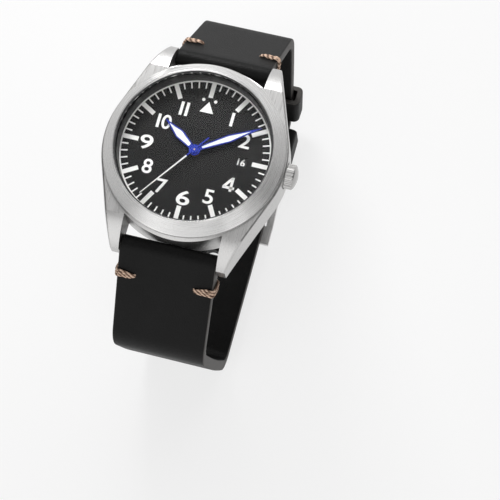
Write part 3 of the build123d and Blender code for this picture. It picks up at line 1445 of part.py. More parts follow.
with BuildPart() as sliding_clutch:
    with BuildSketch(stem_plane.offset(clutch_low)) as clutch_face:
        Circle(clutch_diameter / 2)
        Rectangle(stem_square + 2 * shaft_clearance, stem_square + 2 * shaft_clearance, mode=Mode.SUBTRACT)
    extrude(clutch_face.sketch, amount=clutch_high - clutch_low)
    with BuildSketch(stem_plane.offset(clutch_middle - clutch_groove_width / 2)) as clutch_groove:
        Circle(clutch_diameter)
        Circle(clutch_groove_diameter / 2, mode=Mode.SUBTRACT)
    extrude(clutch_groove.sketch, amount=clutch_groove_width, mode=Mode.SUBTRACT)
with BuildPart() as setting_lever:
    with BuildSketch(Plane.XY.offset(lever_low)) as lever_face:
        bar_face((lever_pin_x, lever_pin_place), lever_pivot, setting_lever_width)
    extrude(lever_face.sketch, amount=lever_high - lever_low)
    plate_ring(0, lever_pin_diameter / 2, lever_high, stem_height + lever_pin_diameter / 2,
               (lever_pin_x, lever_pin_place))
    plate_ring(0, arbor_radius, lever_high, pivot_high, lever_pivot)

# Motion work under the dial, and the date disc
with BuildPart() as cannon_pinion:
    toothed_disc(cannon_leaves, cannon_module, minute_wheel_low, minute_wheel_high, middle, motion_direction)
    plate_ring(0, cannon_tube_diameter / 2, minute_wheel_high, minute_hand_height + hand_thickness)
    bore(centre_tube_diameter / 2 + seat_clearance, minute_wheel_low - overrun, minute_hand_height + overrun)
with BuildPart() as minute_wheel:
    toothed_disc(minute_wheel_teeth, cannon_module, minute_wheel_low, minute_wheel_high, minute_centre,
                 mesh_phase(cannon_leaves, motion_direction, minute_wheel_teeth, motion_direction))
    toothed_disc(minute_pinion_leaves, hour_wheel_module, minute_wheel_high, hour_wheel_high, minute_centre,
                 motion_direction + half_turn)
    bore(pivot_diameter + shaft_clearance, minute_wheel_low, hour_wheel_high, minute_centre)
with BuildPart() as hour_wheel:
    toothed_disc(hour_wheel_teeth, hour_wheel_module, hour_wheel_low, hour_wheel_high, middle,
                 mesh_phase(minute_pinion_leaves, motion_direction + half_turn, hour_wheel_teeth,
                            motion_direction + half_turn))
    plate_ring(0, hour_tube_radius, hour_wheel_high, hour_hand_height + hand_thickness)
    bore(cannon_tube_diameter / 2 + shaft_clearance, hour_wheel_low, hour_hand_height + overrun)
with BuildPart() as date_disc:
    plate_ring(date_disc_inner / 2, date_disc_outer / 2, date_disc_low, date_disc_high)

# Automatic winding: bridge on three posts, two reversers and the rotor
auto_high = auto_bridge_high
neck_radius = rotor_neck_diameter / 2
with BuildPart() as auto_bridge:
    with BuildSketch(Plane.XY.offset(auto_bridge_low)) as auto_face:
        Circle(auto_bridge_diameter / 2)
        with Locations(balance_centre):
            Circle(balance_opening_diameter / 2, mode=Mode.SUBTRACT)
    extrude(auto_face.sketch, amount=auto_high - auto_bridge_low)
    for post in posts:
        plate_ring(0, post_diameter / 2, auto_high, bridge_low, post)
    for post in posts:
        head_top = auto_bridge_low + screw_head_height - gear_gap
        bore(head_radius + seat_clearance, auto_bridge_low, head_top, post)
        bore(shank_radius + seat_clearance, auto_bridge_low, bridge_low, post)
    bore(neck_radius + shaft_clearance, auto_bridge_low, auto_high)
    for centre in reverser_centres:
        bore(arbor_radius + shaft_clearance, auto_bridge_low, auto_high, centre)
rotor_pinion_phase = reverser_directions[0]
reversers = []
for count, direction in enumerate(reverser_directions):
    with BuildPart() as reverser:
        toothed_disc(reverser_teeth, reverser_module, reverser_low, reverser_high, reverser_centres[count],
                     mesh_phase(rotor_pinion_teeth, rotor_pinion_phase, reverser_teeth, direction))
        plate_ring(0, arbor_radius, auto_bridge_low + gear_gap, bridge_low + jewel_thickness - gear_gap,
                   reverser_centres[count])
    reversers.append(reverser)
reverser_1, reverser_2 = reversers
rotor_radius = rotor_diameter / 2
with BuildPart() as rotor:
    with BuildSketch(Plane.XY.offset(rotor_low)) as rotor_face:
        Circle(rotor_radius)
        with Locations(Location((0, 0), rotor_direction)):
            with Locations((rotor_radius + rotor_edge_offset, 0)):
                Rectangle(2 * rotor_radius, 2 * rotor_radius + overrun, mode=Mode.INTERSECT)
        Circle(rotor_hub_diameter / 2)
    extrude(rotor_face.sketch, amount=rotor_high - rotor_low)
    with BuildSketch(Plane.XY.offset(rotor_high)) as rim_face:
        Circle(rotor_radius)
        Circle(rotor_radius - rotor_rim_width, mode=Mode.SUBTRACT)
        with Locations(Location((0, 0), rotor_direction)):
            with Locations((rotor_radius + rotor_edge_offset, 0)):
                Rectangle(2 * rotor_radius, 2 * rotor_radius + overrun, mode=Mode.INTERSECT)
    extrude(rim_face.sketch, amount=rotor_rim_high - rotor_high)
    plate_ring(0, rotor_hub_diameter / 2, rotor_high, rotor_hub_high)
    plate_ring(0, neck_radius, rotor_hub_high, reverser_low)
    toothed_disc(rotor_pinion_teeth, reverser_module, reverser_low, reverser_high, middle, rotor_pinion_phase)


def screw(place, low, head, shank):
    # adds a slotted cheese-head screw whose head faces the back
    plate_ring(0, head_radius, low, low + head, place)
    plate_ring(0, shank_radius, low + head, low + shank, place)
    with BuildSketch(Plane.XY.offset(low)) as slot:
        with Locations(place):
            Rectangle(screw_head_diameter, screw_slot_width)
    extrude(slot.sketch, amount=screw_slot_depth, mode=Mode.SUBTRACT)


with BuildPart() as movement_screws:
    for place in barrel_screws + train_screws:
        screw(place, bridge_low, screw_head_height - seat_clearance, screw_depth - gear_gap)
    screw(cock_foot, cock_low, screw_head_height - seat_clearance, screw_depth - gear_gap)
    for place in posts:
        screw(place, auto_bridge_low, screw_head_height - gear_gap - seat_clearance, screw_depth - gear_gap)

# Every piece is labelled and exported under its own name
pieces = {
    "mid_case": mid_case, "bezel": bezel, "crystal": crystal, "crystal_gasket": crystal_gasket,
    "inner_ring": inner_ring, "case_back": case_back, "back_glass": back_glass, "case_gasket": case_gasket,
    "movement_ring": movement_ring, "crown": crown, "crown_tube": crown_tube, "winding_stem": winding_stem,
    "spring_bar_12": spring_bar_12, "spring_bar_6": spring_bar_6,
    "strap_short": strap_short, "strap_long": strap_long, "strap_stitches": strap_stitches,
    "fixed_keeper": fixed_keeper, "free_keeper": free_keeper,
    "buckle_frame": buckle_frame, "buckle_bar": buckle_bar, "buckle_tang": buckle_tang,
    "dial": dial, "dial_marks": dial_marks, "date_disc": date_disc,
    "hour_hand": hour_hand, "hour_hand_lume": hour_lume,
    "minute_hand": minute_hand, "minute_hand_lume": minute_lume, "seconds_hand": seconds_hand,
    "main_plate": main_plate, "barrel_bridge": barrel_bridge, "train_bridge": train_bridge,
    "auto_bridge": auto_bridge, "balance_cock": balance_cock, "pallet_bridge": pallet_bridge,
    "jewels": jewels, "movement_screws": movement_screws,
    "barrel": barrel, "mainspring": mainspring, "barrel_arbor": barrel_arbor,
    "ratchet_wheel": ratchet_wheel, "crown_wheel": crown_wheel, "click": click,
    "centre_wheel": centre_wheel, "third_wheel": third_wheel, "fourth_wheel": fourth_wheel,
    "escape_wheel": escape_wheel, "pallet_fork": pallet_fork, "balance_wheel": balance,
    "hairspring": hairspring,
    "winding_pinion": winding_pinion, "sliding_clutch": sliding_clutch, "setting_lever": setting_lever,
    "cannon_pinion": cannon_pinion, "minute_wheel": minute_wheel, "hour_wheel": hour_wheel,
    "reverser_1": reverser_1, "reverser_2": reverser_2, "rotor": rotor,
}
for node, piece in pieces.items():
    piece.part.label = node
    export_step(piece.part, f"parts/{node}.step")
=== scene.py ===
from math import cos, pi, radians, sin

import bmesh
import bpy
from mathutils import Matrix, Vector


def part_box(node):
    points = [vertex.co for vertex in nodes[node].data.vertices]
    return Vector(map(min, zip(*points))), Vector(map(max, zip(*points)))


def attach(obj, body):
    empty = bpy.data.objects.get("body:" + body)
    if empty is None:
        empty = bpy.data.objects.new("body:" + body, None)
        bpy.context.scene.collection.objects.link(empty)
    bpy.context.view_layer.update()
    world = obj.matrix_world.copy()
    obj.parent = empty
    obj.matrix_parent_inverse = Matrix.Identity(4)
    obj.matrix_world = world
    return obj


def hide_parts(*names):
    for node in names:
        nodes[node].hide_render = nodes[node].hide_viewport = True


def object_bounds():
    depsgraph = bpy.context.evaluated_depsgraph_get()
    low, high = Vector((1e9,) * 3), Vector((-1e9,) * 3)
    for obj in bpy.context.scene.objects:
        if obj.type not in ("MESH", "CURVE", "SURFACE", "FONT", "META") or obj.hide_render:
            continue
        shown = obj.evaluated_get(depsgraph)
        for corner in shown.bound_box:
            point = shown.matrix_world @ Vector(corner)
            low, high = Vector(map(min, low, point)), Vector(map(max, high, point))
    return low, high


# The watch arrives as the frame: every solid piece at its place, in metres. The origin is the
# middle of the case back, +Z points out of the dial, +Y to 12 o'clock and +X to the crown.
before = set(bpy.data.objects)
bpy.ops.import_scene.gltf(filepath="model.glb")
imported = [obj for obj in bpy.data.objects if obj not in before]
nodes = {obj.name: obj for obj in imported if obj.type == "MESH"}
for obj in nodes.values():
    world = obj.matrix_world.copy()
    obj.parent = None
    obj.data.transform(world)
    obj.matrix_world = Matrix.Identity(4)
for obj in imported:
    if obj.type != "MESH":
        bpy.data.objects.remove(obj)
cad_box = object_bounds()
MM = 0.001


# The camera looks down on the dial from the crown's side and a little from 6 o'clock, so that the
# 12 o'clock half of the strap shows over the bezel and folds away out of sight at the right.
eye = Vector((75.23, -125.99, 380.74)) * MM
look = Vector((-0.1472, 0.2731, -0.9507)).normalized()
photo_right = Vector((0.9631, 0.2585, -0.0749))
right = (photo_right - photo_right.dot(look) * look).normalized()
up = right.cross(look)
photo_focal_px = 1835.1
photo_width_px = 500
camera_data = bpy.data.cameras.new("camera")
camera_data.sensor_width = 36
camera_data.lens = photo_focal_px / photo_width_px * camera_data.sensor_width
camera_data.clip_start = 0.01
camera = bpy.data.objects.new("camera", camera_data)
turn = Matrix((right, up, -look)).transposed().to_4x4()
camera.matrix_world = Matrix.Translation(eye) @ turn
bpy.context.scene.collection.objects.link(camera)
bpy.context.scene.camera = camera
bpy.context.scene.view_settings.view_transform = "Standard"


# The floor is a plain pale sheet that the watch stands on with its buckle and fixed keeper. Its
# paint is nearly white, and what the camera and the polished steel see of it is a flat white.
floor_reach, floor_glow = 3, 0.72
sharp_angle = radians(40)


def mesh_object(made, name):
    # turns a bmesh into an object of that name
    mesh = bpy.data.meshes.new(name)
    made.to_mesh(mesh)
    made.free()
    obj = bpy.data.objects.new(name, mesh)
    bpy.context.scene.collection.objects.link(obj)
    return obj


def finished_piece(made, name):
    # gives a bmesh soft shading over its gentle edges and turns it into an object
    for face in made.faces:
        face.smooth = True
    for edge in made.edges:
        if len(edge.link_faces) == 2 and edge.calc_face_angle(0) > sharp_angle:
            edge.smooth = False
    return mesh_object(made, name)


def paint(name, colour, roughness, metallic=0.0):
    made = bpy.data.materials.new(name)
    made.use_nodes = True
    shader = made.node_tree.nodes["Principled BSDF"]
    shader.inputs["Base Color"].default_value = (*colour, 1)
    shader.inputs["Roughness"].default_value = roughness
    shader.inputs["Metallic"].default_value = metallic
    return made, made.node_tree, shader


def add_node(tree, kind, inputs=None, **settings):
    # adds a shader node, where each input takes a value or another node's output
    made = tree.nodes.new(kind)
    for setting, value in settings.items():
        setattr(made, setting, value)
    for socket, value in (inputs or {}).items():
        if isinstance(value, bpy.types.NodeSocket):
            tree.links.new(value, made.inputs[socket])
        else:
            made.inputs[socket].default_value = value
    return made


floor_mesh = bmesh.new()
bmesh.ops.create_grid(floor_mesh, x_segments=1, y_segments=1, size=floor_reach)
bmesh.ops.translate(floor_mesh, verts=floor_mesh.verts, vec=(0, 0, cad_box[0][2]))
floor = finished_piece(floor_mesh, "floor")
floor_paint, floor_tree, floor_shader = paint("floor_paint", (0.9, 0.9, 0.9), 0.9)
floor_ray = add_node(floor_tree, "ShaderNodeLightPath")
floor_seen = add_node(floor_tree, "ShaderNodeMath", {
    0: floor_ray.outputs["Is Camera Ray"], 1: floor_ray.outputs["Is Glossy Ray"]}, operation="MAXIMUM")
floor_through = add_node(floor_tree, "ShaderNodeMath", {
    0: floor_seen.outputs[0], 1: floor_ray.outputs["Is Transmission Ray"]}, operation="MAXIMUM")
floor_share = add_node(floor_tree, "ShaderNodeMath", {0: floor_through.outputs[0], 1: floor_glow},
                       operation="MULTIPLY")
floor_white = add_node(floor_tree, "ShaderNodeEmission", {"Strength": 1})
floor_mix = add_node(floor_tree, "ShaderNodeMixShader", {
    "Fac": floor_share.outputs[0], 1: floor_shader.outputs[0], 2: floor_white.outputs[0]})
floor_tree.links.new(floor_mix.outputs[0], floor_tree.nodes["Material Output"].inputs["Surface"])
floor.data.materials.append(floor_paint)


# The studio round the watch is a tent of white sheets with dark gaps between them, so that the
# turned steel shows sweeps of light and shade. It evens out overhead and is paler at its foot.
world = bpy.data.worlds.new("studio")
bpy.context.scene.world = world
world.use_nodes = True
tent = world.node_tree
tent.nodes.clear()
tent_way = add_node(tent, "ShaderNodeTexCoord")
tent_parts = add_node(tent, "ShaderNodeSeparateXYZ", {0: tent_way.outputs["Generated"]})
tent_angle = add_node(tent, "ShaderNodeMath", {
    0: tent_parts.outputs["Y"], 1: tent_parts.outputs["X"]}, operation="ARCTAN2")
tent_share = add_node(tent, "ShaderNodeMapRange", {
    "Value": tent_angle.outputs[0], "From Min": -pi, "From Max": pi})
tent_sheets = add_node(tent, "ShaderNodeValToRGB", {"Fac": tent_share.outputs[0]})
tent_sheets.color_ramp.interpolation = "EASE"
# each sheet or gap: its degrees from 9 o'clock by way of 6, and its brightness
sheets = ((0, 0.02), (35, 0.3), (62, 1.7), (95, 1.1), (120, 0.9), (145, 0.8), (180, 0.02),
          (225, 0.1), (250, 1.4), (285, 1.1), (320, 0.35), (345, 0.02))
stops = tent_sheets.color_ramp.elements
for number, (degrees, level) in enumerate(sheets):
    stop = stops[number] if number < 2 else stops.new(degrees / 360)
    stop.position = degrees / 360
    stop.color = (level, level, level, 1)
tent_height = add_node(tent, "ShaderNodeMapRange", {
    "Value": tent_parts.outputs["Z"], "From Min": 0.9, "From Max": 1.0}, interpolation_type="SMOOTHSTEP")
tent_roof = add_node(tent, "ShaderNodeMix", {
    "Factor": tent_height.outputs[0], "A": tent_sheets.outputs["Color"], "B": (0.5, 0.5, 0.5, 1)},
    data_type="RGBA")
tent_foot = add_node(tent, "ShaderNodeMapRange", {
    "Value": tent_parts.outputs["Z"], "From Min": 0.12, "From Max": 0.18, "To Min": 0.5},
    interpolation_type="SMOOTHSTEP")
tent_skirt = add_node(tent, "ShaderNodeMix", {
    "Factor": tent_foot.outputs[0], "A": (0.85, 0.85, 0.85, 1), "B": tent_roof.outputs["Result"]},
    data_type="RGBA")
tent_light = add_node(tent, "ShaderNodeBackground", {
    "Color": tent_skirt.outputs["Result"], "Strength": 1})
add_node(tent, "ShaderNodeOutputWorld", {"Surface": tent_light.outputs[0]})


# Soft lamps: a broad one high over 12 o'clock, a weak one at the right that opens the shadow under
# the crown, and a small near one that draws a sheen on the dial's upper half.
def soft_lamp(name, place, size, power):
    lamp = bpy.data.lights.new(name, "AREA")
    lamp.shape = "RECTANGLE"
    lamp.size, lamp.size_y = size
    lamp.energy = power
    holder = bpy.data.objects.new(name, lamp)
    holder.location = place
    holder.rotation_euler = (-Vector(place)).to_track_quat("-Z", "Y").to_euler()
    bpy.context.scene.collection.objects.link(holder)


soft_lamp("lamp_over", (-0.2, 0.66, 0.55), (0.7, 0.35), 0.9)
soft_lamp("lamp_right", (0.5, -0.45, 0.3), (0.25, 0.25), 0.15)
soft_lamp("lamp_near", (-0.05, 0.12, 0.1), (0.05, 0.04), 0.13)


# Brushed steel is drawn out by belt or wheel into fine streaks. The streaks of the bezel and the
# case back run round the axis of the watch, and those of the lugs and buckle run along the strap.
streak_stretch, streak_arc, streak_depth = 0.02, 0.018, 0.000004


def streak_group(name, turned):
    group = bpy.data.node_groups.new(name, "ShaderNodeTree")
    group.interface.new_socket("Fineness", in_out="INPUT", socket_type="NodeSocketFloat")
    for label in ("Height", "Shade"):
        group.interface.new_socket(label, in_out="OUTPUT", socket_type="NodeSocketFloat")
    start = add_node(group, "NodeGroupInput")
    place = add_node(group, "ShaderNodeTexCoord")
    parts = add_node(group, "ShaderNodeSeparateXYZ", {0: place.outputs["Object"]})
    across, along = parts.outputs["X"], parts.outputs["Y"]
    if turned:
        flat = add_node(group, "ShaderNodeVectorMath", {0: place.outputs["Object"], 1: (1, 1, 0)},
                        operation="MULTIPLY")
        radius = add_node(group, "ShaderNodeVectorMath", {0: flat.outputs[0]}, operation="LENGTH")
        angle = add_node(group, "ShaderNodeMath", {0: parts.outputs["Y"], 1: parts.outputs["X"]},
                         operation="ARCTAN2")
        arc = add_node(group, "ShaderNodeMath", {0: angle.outputs[0], 1: streak_arc},
                       operation="MULTIPLY")
        across, along = radius.outputs["Value"], arc.outputs[0]
    drawn = add_node(group, "ShaderNodeMath", {0: along, 1: streak_stretch}, operation="MULTIPLY")
    joined = add_node(group, "ShaderNodeCombineXYZ", {
        "X": across, "Y": drawn.outputs[0], "Z": parts.outputs["Z"]})
    noise = add_node(group, "ShaderNodeTexNoise", {
        "Vector": joined.outputs[0], "Scale": start.outputs["Fineness"], "Detail": 3})
    spread = add_node(group, "ShaderNodeMapRange", {
        "Value": noise.outputs["Fac"], "From Min": 0.3, "From Max": 0.7})
    add_node(group, "NodeGroupOutput", {"Height": noise.outputs["Fac"], "Shade": spread.outputs[0]})
    return group


def toned(tree, shader, share, dark, light):
    # lets the colour go from dark to light by a share that changes over the surface
    tone = add_node(tree, "ShaderNodeMix", {"Factor": share, "A": (*dark, 1), "B": (*light, 1)},
                    data_type="RGBA")
    tree.links.new(tone.outputs["Result"], shader.inputs["Base Color"])
    return tone.outputs["Result"]


def roughened(tree, shader, share, low, high):
    # lets the roughness go from low to high by a share that changes over the surface
    rougher = add_node(tree, "ShaderNodeMapRange", {"Value": share, "To Min": low, "To Max": high})
    tree.links.new(rougher.outputs[0], shader.inputs["Roughness"])


def raised(tree, shader, height, strength, depth):
    # raises the surface by a height that changes over it
    bump = add_node(tree, "ShaderNodeBump", {"Height": height, "Strength": strength, "Distance": depth})
    tree.links.new(bump.outputs["Normal"], shader.inputs["Normal"])


def shaded(colour, share):
    return [part * share for part in colour]


turned_streaks = streak_group("turned_streaks", True)
straight_streaks = streak_group("straight_streaks", False)


def brushed_steel(name, streaks, colour, rough, fineness=9000.0):
    made, tree, shader = paint(name, colour, rough, 1.0)
    if streaks == turned_streaks:
        # turned rings draw a highlight out across themselves
        shader.inputs["Anisotropic"].default_value = 0.85
        shader.inputs["Anisotropic Rotation"].default_value = 0.25
        way = add_node(tree, "ShaderNodeTangent", direction_type="RADIAL", axis="Z")
        tree.links.new(way.outputs[0], shader.inputs["Tangent"])
    marks = add_node(tree, "ShaderNodeGroup", {"Fineness": fineness}, node_tree=streaks)
    roughened(tree, shader, marks.outputs["Shade"], rough * 0.75, rough * 1.3)
    toned(tree, shader, marks.outputs["Shade"], shaded(colour, 0.82), shaded(colour, 1.12))
    raised(tree, shader, marks.outputs["Height"], 0.5, streak_depth)
    return made


def coat(node, material):
    # gives a solid piece its finish
    slots = nodes[node].data.materials
    slots.clear()
    slots.append(material)


bezel_steel = brushed_steel("bezel_steel", turned_streaks, (0.67, 0.665, 0.66), 0.27)
# The mid-case's steel is painted darker than the bezel's, as painted shade on its flanks.
case_steel = brushed_steel("case_steel", straight_streaks, (0.55, 0.545, 0.54), 0.34)
case_back_steel = brushed_steel("case_back_steel", turned_streaks, (0.68, 0.675, 0.67), 0.27)
buckle_steel = brushed_steel("buckle_steel", straight_streaks, (0.68, 0.675, 0.67), 0.38)
coat("bezel", bezel_steel)
coat("mid_case", case_steel)
coat("case_back", case_back_steel)
coat("movement_ring", case_back_steel)
coat("buckle_frame", buckle_steel)
coat("buckle_tang", buckle_steel)


# Polished steel: the fluted crown with its domed end, the tube and the spring bars. It carries only
# faint hair scratches from wear.
def uneven(tree, scale, detail=2):
    # a pattern of soft patches that sits on the piece
    place = add_node(tree, "ShaderNodeTexCoord")
    return add_node(tree, "ShaderNodeTexNoise", {
        "Vector": place.outputs["Object"], "Scale": scale, "Detail": detail})


def polished_steel(name, colour, rough):
    made, tree, shader = paint(name, colour, rough, 1.0)
    scratches = uneven(tree, 2500, 4)
    roughened(tree, shader, scratches.outputs["Fac"], rough * 0.6, rough * 1.6)
    return made


# The crown's steel is painted darker than the bars' steel, as painted shade for the dark surroundings it
# mirrors.
crown_steel_painted_shade = polished_steel("crown_steel_painted_shade", (0.42, 0.415, 0.41), 0.12)
bar_steel = polished_steel("bar_steel", (0.6, 0.6, 0.6), 0.25)
coat("crown", crown_steel_painted_shade)
for node in ("crown_tube", "spring_bar_12", "spring_bar_6", "buckle_bar"):
    coat(node, bar_steel)


# The crystal and the back glass are clear sapphire, coated against reflections. Lamp light passes
# through them unbent, so that the dial and the movement are lit as they are under real glass.
sapphire, glass_tree, glass_shader = paint("sapphire", (1.0, 1.0, 1.0), 0.0)
glass_shader.inputs["Transmission Weight"].default_value = 1.0
glass_shader.inputs["IOR"].default_value = 1.2
glass_ray = add_node(glass_tree, "ShaderNodeLightPath")
glass_through = add_node(glass_tree, "ShaderNodeBsdfTransparent")
glass_mix = add_node(glass_tree, "ShaderNodeMixShader", {
    "Fac": glass_ray.outputs["Is Shadow Ray"], 1: glass_shader.outputs[0], 2: glass_through.outputs[0]})
glass_tree.links.new(glass_mix.outputs[0], glass_tree.nodes["Material Output"].inputs["Surface"])
coat("crystal", sapphire)
coat("back_glass", sapphire)
coat("crystal_gasket", paint("gasket_nylon", (0.03, 0.03, 0.032), 0.5)[0])
coat("case_gasket", paint("gasket_rubber", (0.02, 0.02, 0.02), 0.7)[0])


# The dial is a brass disc under charcoal lacquer, a little lighter where the light falls across it.
# The deep ring around it is turned and finished matt black.
lacquer_grain, lacquer_depth = 6000, 0.0000006


def lacquer(name, dark, light, rough, gloss=0.5):
    made, tree, shader = paint(name, dark, rough)
    shader.inputs["Specular IOR Level"].default_value = gloss
    grain = uneven(tree, lacquer_grain)
    toned(tree, shader, grain.outputs["Fac"], dark, light)
    raised(tree, shader, grain.outputs["Fac"], 0.2, lacquer_depth)
    return made


charcoal, charcoal_light = (0.0055, 0.0055, 0.0055), (0.0065, 0.0065, 0.0065)
coat("dial", lacquer("dial_lacquer", charcoal, charcoal_light, 0.42, 0.18))
coat("inner_ring", lacquer("ring_black", charcoal, charcoal_light, 0.3, 0.4))


# The marks and numerals are printed in thick white paint. The date shows white on a black disc
# through the small window at 3 o'clock.
def grainy_white(name, colour, rough):
    return lacquer(name, colour, shaded(colour, 1.06), rough)


print_white = grainy_white("print_white", (0.9, 0.9, 0.88), 0.55)
coat("dial_marks", print_white)
coat("date_disc", lacquer("date_black", (0.014, 0.014, 0.015), (0.02, 0.02, 0.02), 0.5))
print_thickness = 0.02 * MM
print_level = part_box("dial")[1][2] + print_thickness / 2
date_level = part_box("date_disc")[1][2] + print_thickness / 2
numeral_height, stroke_width = 3.2 * MM, 0.66 * MM
date_height, date_x = 1.6 * MM, 10.35 * MM
font_height_share = 0.7


def printed_figure(target, figure, height, middle, level, widened, boldness=0.02):
    # adds one printed figure, centred on a place, to a bmesh
    font = bpy.data.curves.new("figure", "FONT")
    font.body = figure
    font.size = height / font_height_share
    font.offset = boldness * height
    font.extrude = print_thickness / 2
    holder = bpy.data.objects.new("figure", font)
    bpy.context.scene.collection.objects.link(holder)
    bpy.context.view_layer.update()
    shown = holder.evaluated_get(bpy.context.evaluated_depsgraph_get())
    mesh = bpy.data.meshes.new_from_object(shown)
    low = [min(v.co[axis] for v in mesh.vertices) for axis in (0, 1)]
    high = [max(v.co[axis] for v in mesh.vertices) for axis in (0, 1)]
    centre = Vector(((low[0] + high[0]) / 2, (low[1] + high[1]) / 2, 0))
    mesh.transform(Matrix.Translation((*middle, level)) @ Matrix.Diagonal((widened, 1, 1, 1))
                   @ Matrix.Translation(-centre))
    target.from_mesh(mesh)
    bpy.data.objects.remove(holder)
    bpy.data.meshes.remove(mesh)


def printed_stroke(target, start, end, width):
    # adds a straight printed stroke to a bmesh
    way = Vector(end) - Vector(start)
    stand = Matrix.Translation((*((Vector(start) + Vector(end)) / 2), print_level))
    turned = Matrix.Rotation(-Vector((1, 0)).angle_signed(way), 4, "Z")
    stroke_size = Matrix.Diagonal((way.length, width, print_thickness, 1))
    bmesh.ops.create_cube(target, size=1, matrix=stand @ turned @ stroke_size)


# each numeral's place on the dial in mm, and its figures with their shift in mm and their widening
numerals = bmesh.new()
for place, figures in (
    ((5.95, 8.97), (("1", 0, 1),)),
    ((9.97, 4.74), (("2", 0, 1.14),)),
    ((9.24, -5.55), (("4", 0, 1),)),
    ((5.63, -9.33), (("5", 0, 1.12),)),
    ((0.37, -10.83), (("6", 0, 1.45),)),
    ((-5.03, -9.39), (("7", 0, 1.08),)),
    ((-9.17, -5.64), (("8", 0, 1.03),)),
    ((-10.92, -0.34), (("9", 0, 1.4),)),
    ((-8.38, 5.13), (("1", -1.3, 1), ("0", 0.5, 1))),
    ((-4.91, 9.02), (("1", -0.62, 1), ("1", 0.62, 1))),
):
    for figure, shift, widened in figures:
        x, y = (place[0] + shift) * MM, place[1] * MM
        if figure == "1":
            printed_stroke(numerals, (x, y - numeral_height / 2), (x, y + numeral_height / 2),
                           stroke_width)
        elif figure == "4":
            # its upright, its slope and its bar
            for from_x, from_y, to_x, to_y in ((0.5, -1.6, 0.5, 1.6), (0.42, 1.42, -1.12, -0.74),
                                               (-1.35, -0.8, 1.25, -0.8)):
                printed_stroke(numerals, (x + from_x * MM, y + from_y * MM),
                               (x + to_x * MM, y + to_y * MM), stroke_width * 0.9)
        else:
            printed_figure(numerals, figure, numeral_height, (x, y), print_level, widened)
dial_numerals = finished_piece(numerals, "dial_numerals")
dial_numerals.data.materials.append(print_white)
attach(dial_numerals, "case")

date_figures = bmesh.new()
printed_figure(date_figures, "16", date_height, (date_x, 0), date_level, 0.9, 0.045)
date_digits = finished_piece(date_figures, "date_digits")
date_digits.data.materials.append(print_white)
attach(date_digits, "date")


# The hands are thin blued steel with white filling. The seconds hand is painted white out to its
# tip and left blue at the hub and tail.
blued_metallic = 0.85


def blued_steel(name):
    made, tree, shader = paint(name, (0.03, 0.06, 0.45), 0.25, blued_metallic)
    patches = uneven(tree, 900)
    tone = toned(tree, shader, patches.outputs["Fac"], (0.02, 0.035, 0.36), (0.06, 0.1, 0.6))
    return made, tree, shader, tone


hand_blue = blued_steel("hand_blue")[0]
coat("hour_hand", hand_blue)
coat("minute_hand", hand_blue)
hand_filling = grainy_white("hand_filling", (0.86, 0.88, 0.86), 0.6)
coat("hour_hand_lume", hand_filling)
coat("minute_hand_lume", hand_filling)
seconds_angle, needle_hub = radians(90 - 216), 2.2 * MM
needle_paint, needle_tree, needle_shader, needle_blue = blued_steel("needle_paint")
needle_place = add_node(needle_tree, "ShaderNodeTexCoord")
needle_reach = add_node(needle_tree, "ShaderNodeVectorMath", {
    0: needle_place.outputs["Object"], 1: (cos(seconds_angle), sin(seconds_angle), 0)},
    operation="DOT_PRODUCT")
needle_end = add_node(needle_tree, "ShaderNodeMath", {
    0: needle_reach.outputs["Value"], 1: needle_hub}, operation="GREATER_THAN")
needle_white = add_node(needle_tree, "ShaderNodeMix", {
    "Factor": needle_end.outputs[0], "A": needle_blue, "B": (0.85, 0.85, 0.83, 1)}, data_type="RGBA")
needle_tree.links.new(needle_white.outputs["Result"], needle_shader.inputs["Base Color"])
needle_metal = add_node(needle_tree, "ShaderNodeMapRange", {
    "Value": needle_end.outputs[0], "To Min": blued_metallic, "To Max": 0.0})
needle_tree.links.new(needle_metal.outputs[0], needle_shader.inputs["Metallic"])
coat("seconds_hand", needle_paint)


# The movement: bridges and rotor in pale plated brass with striping or turned graining, gilt
# wheels, polished steel winding work, blued screws and ruby bearings.
def waved(tree, scale, distortion):
    # slanting stripes across the piece
    place = add_node(tree, "ShaderNodeTexCoord")
    return add_node(tree, "ShaderNodeTexWave", {
        "Vector": place.outputs["Object"], "Scale": scale, "Distortion": distortion},
        bands_direction="DIAGONAL")


bridge_tone, bridge_rough = (0.66, 0.65, 0.62), 0.3
bridge_metal, bridge_tree, bridge_shader = paint("bridge_metal", bridge_tone, bridge_rough, 1.0)
bridge_stripes = waved(bridge_tree, 130, 0.4)
toned(bridge_tree, bridge_shader, bridge_stripes.outputs["Fac"], shaded(bridge_tone, 0.75),
      shaded(bridge_tone, 1.15))
roughened(bridge_tree, bridge_shader, bridge_stripes.outputs["Fac"], bridge_rough * 0.8,
          bridge_rough * 1.4)
for node in ("barrel_bridge", "train_bridge", "auto_bridge", "balance_cock", "pallet_bridge"):
    coat(node, bridge_metal)
coat("main_plate", brushed_steel("plate_metal", turned_streaks, (0.62, 0.6, 0.55), 0.4, 5000.0))
coat("rotor", brushed_steel("rotor_metal", turned_streaks, (0.64, 0.63, 0.6), 0.3, 7000.0))
gilt = brushed_steel("gilt_brass", turned_streaks, (0.78, 0.58, 0.28), 0.28, 8000.0)
for node in ("barrel", "centre_wheel", "third_wheel", "fourth_wheel", "minute_wheel", "hour_wheel",
             "balance_wheel"):
    coat(node, gilt)
work_steel = polished_steel("work_steel", (0.56, 0.56, 0.57), 0.2)
for node in ("barrel_arbor", "ratchet_wheel", "crown_wheel", "click", "winding_pinion",
             "sliding_clutch", "setting_lever", "winding_stem", "cannon_pinion", "escape_wheel",
             "pallet_fork", "mainspring", "reverser_1", "reverser_2"):
    coat(node, work_steel)
screw_blue = blued_steel("screw_blue")[0]
coat("movement_screws", screw_blue)
coat("hairspring", screw_blue)
ruby, _, ruby_shader = paint("ruby", (0.5, 0.02, 0.08), 0.08)
ruby_shader.inputs["Coat Weight"].default_value = 0.6
coat("jewels", ruby)


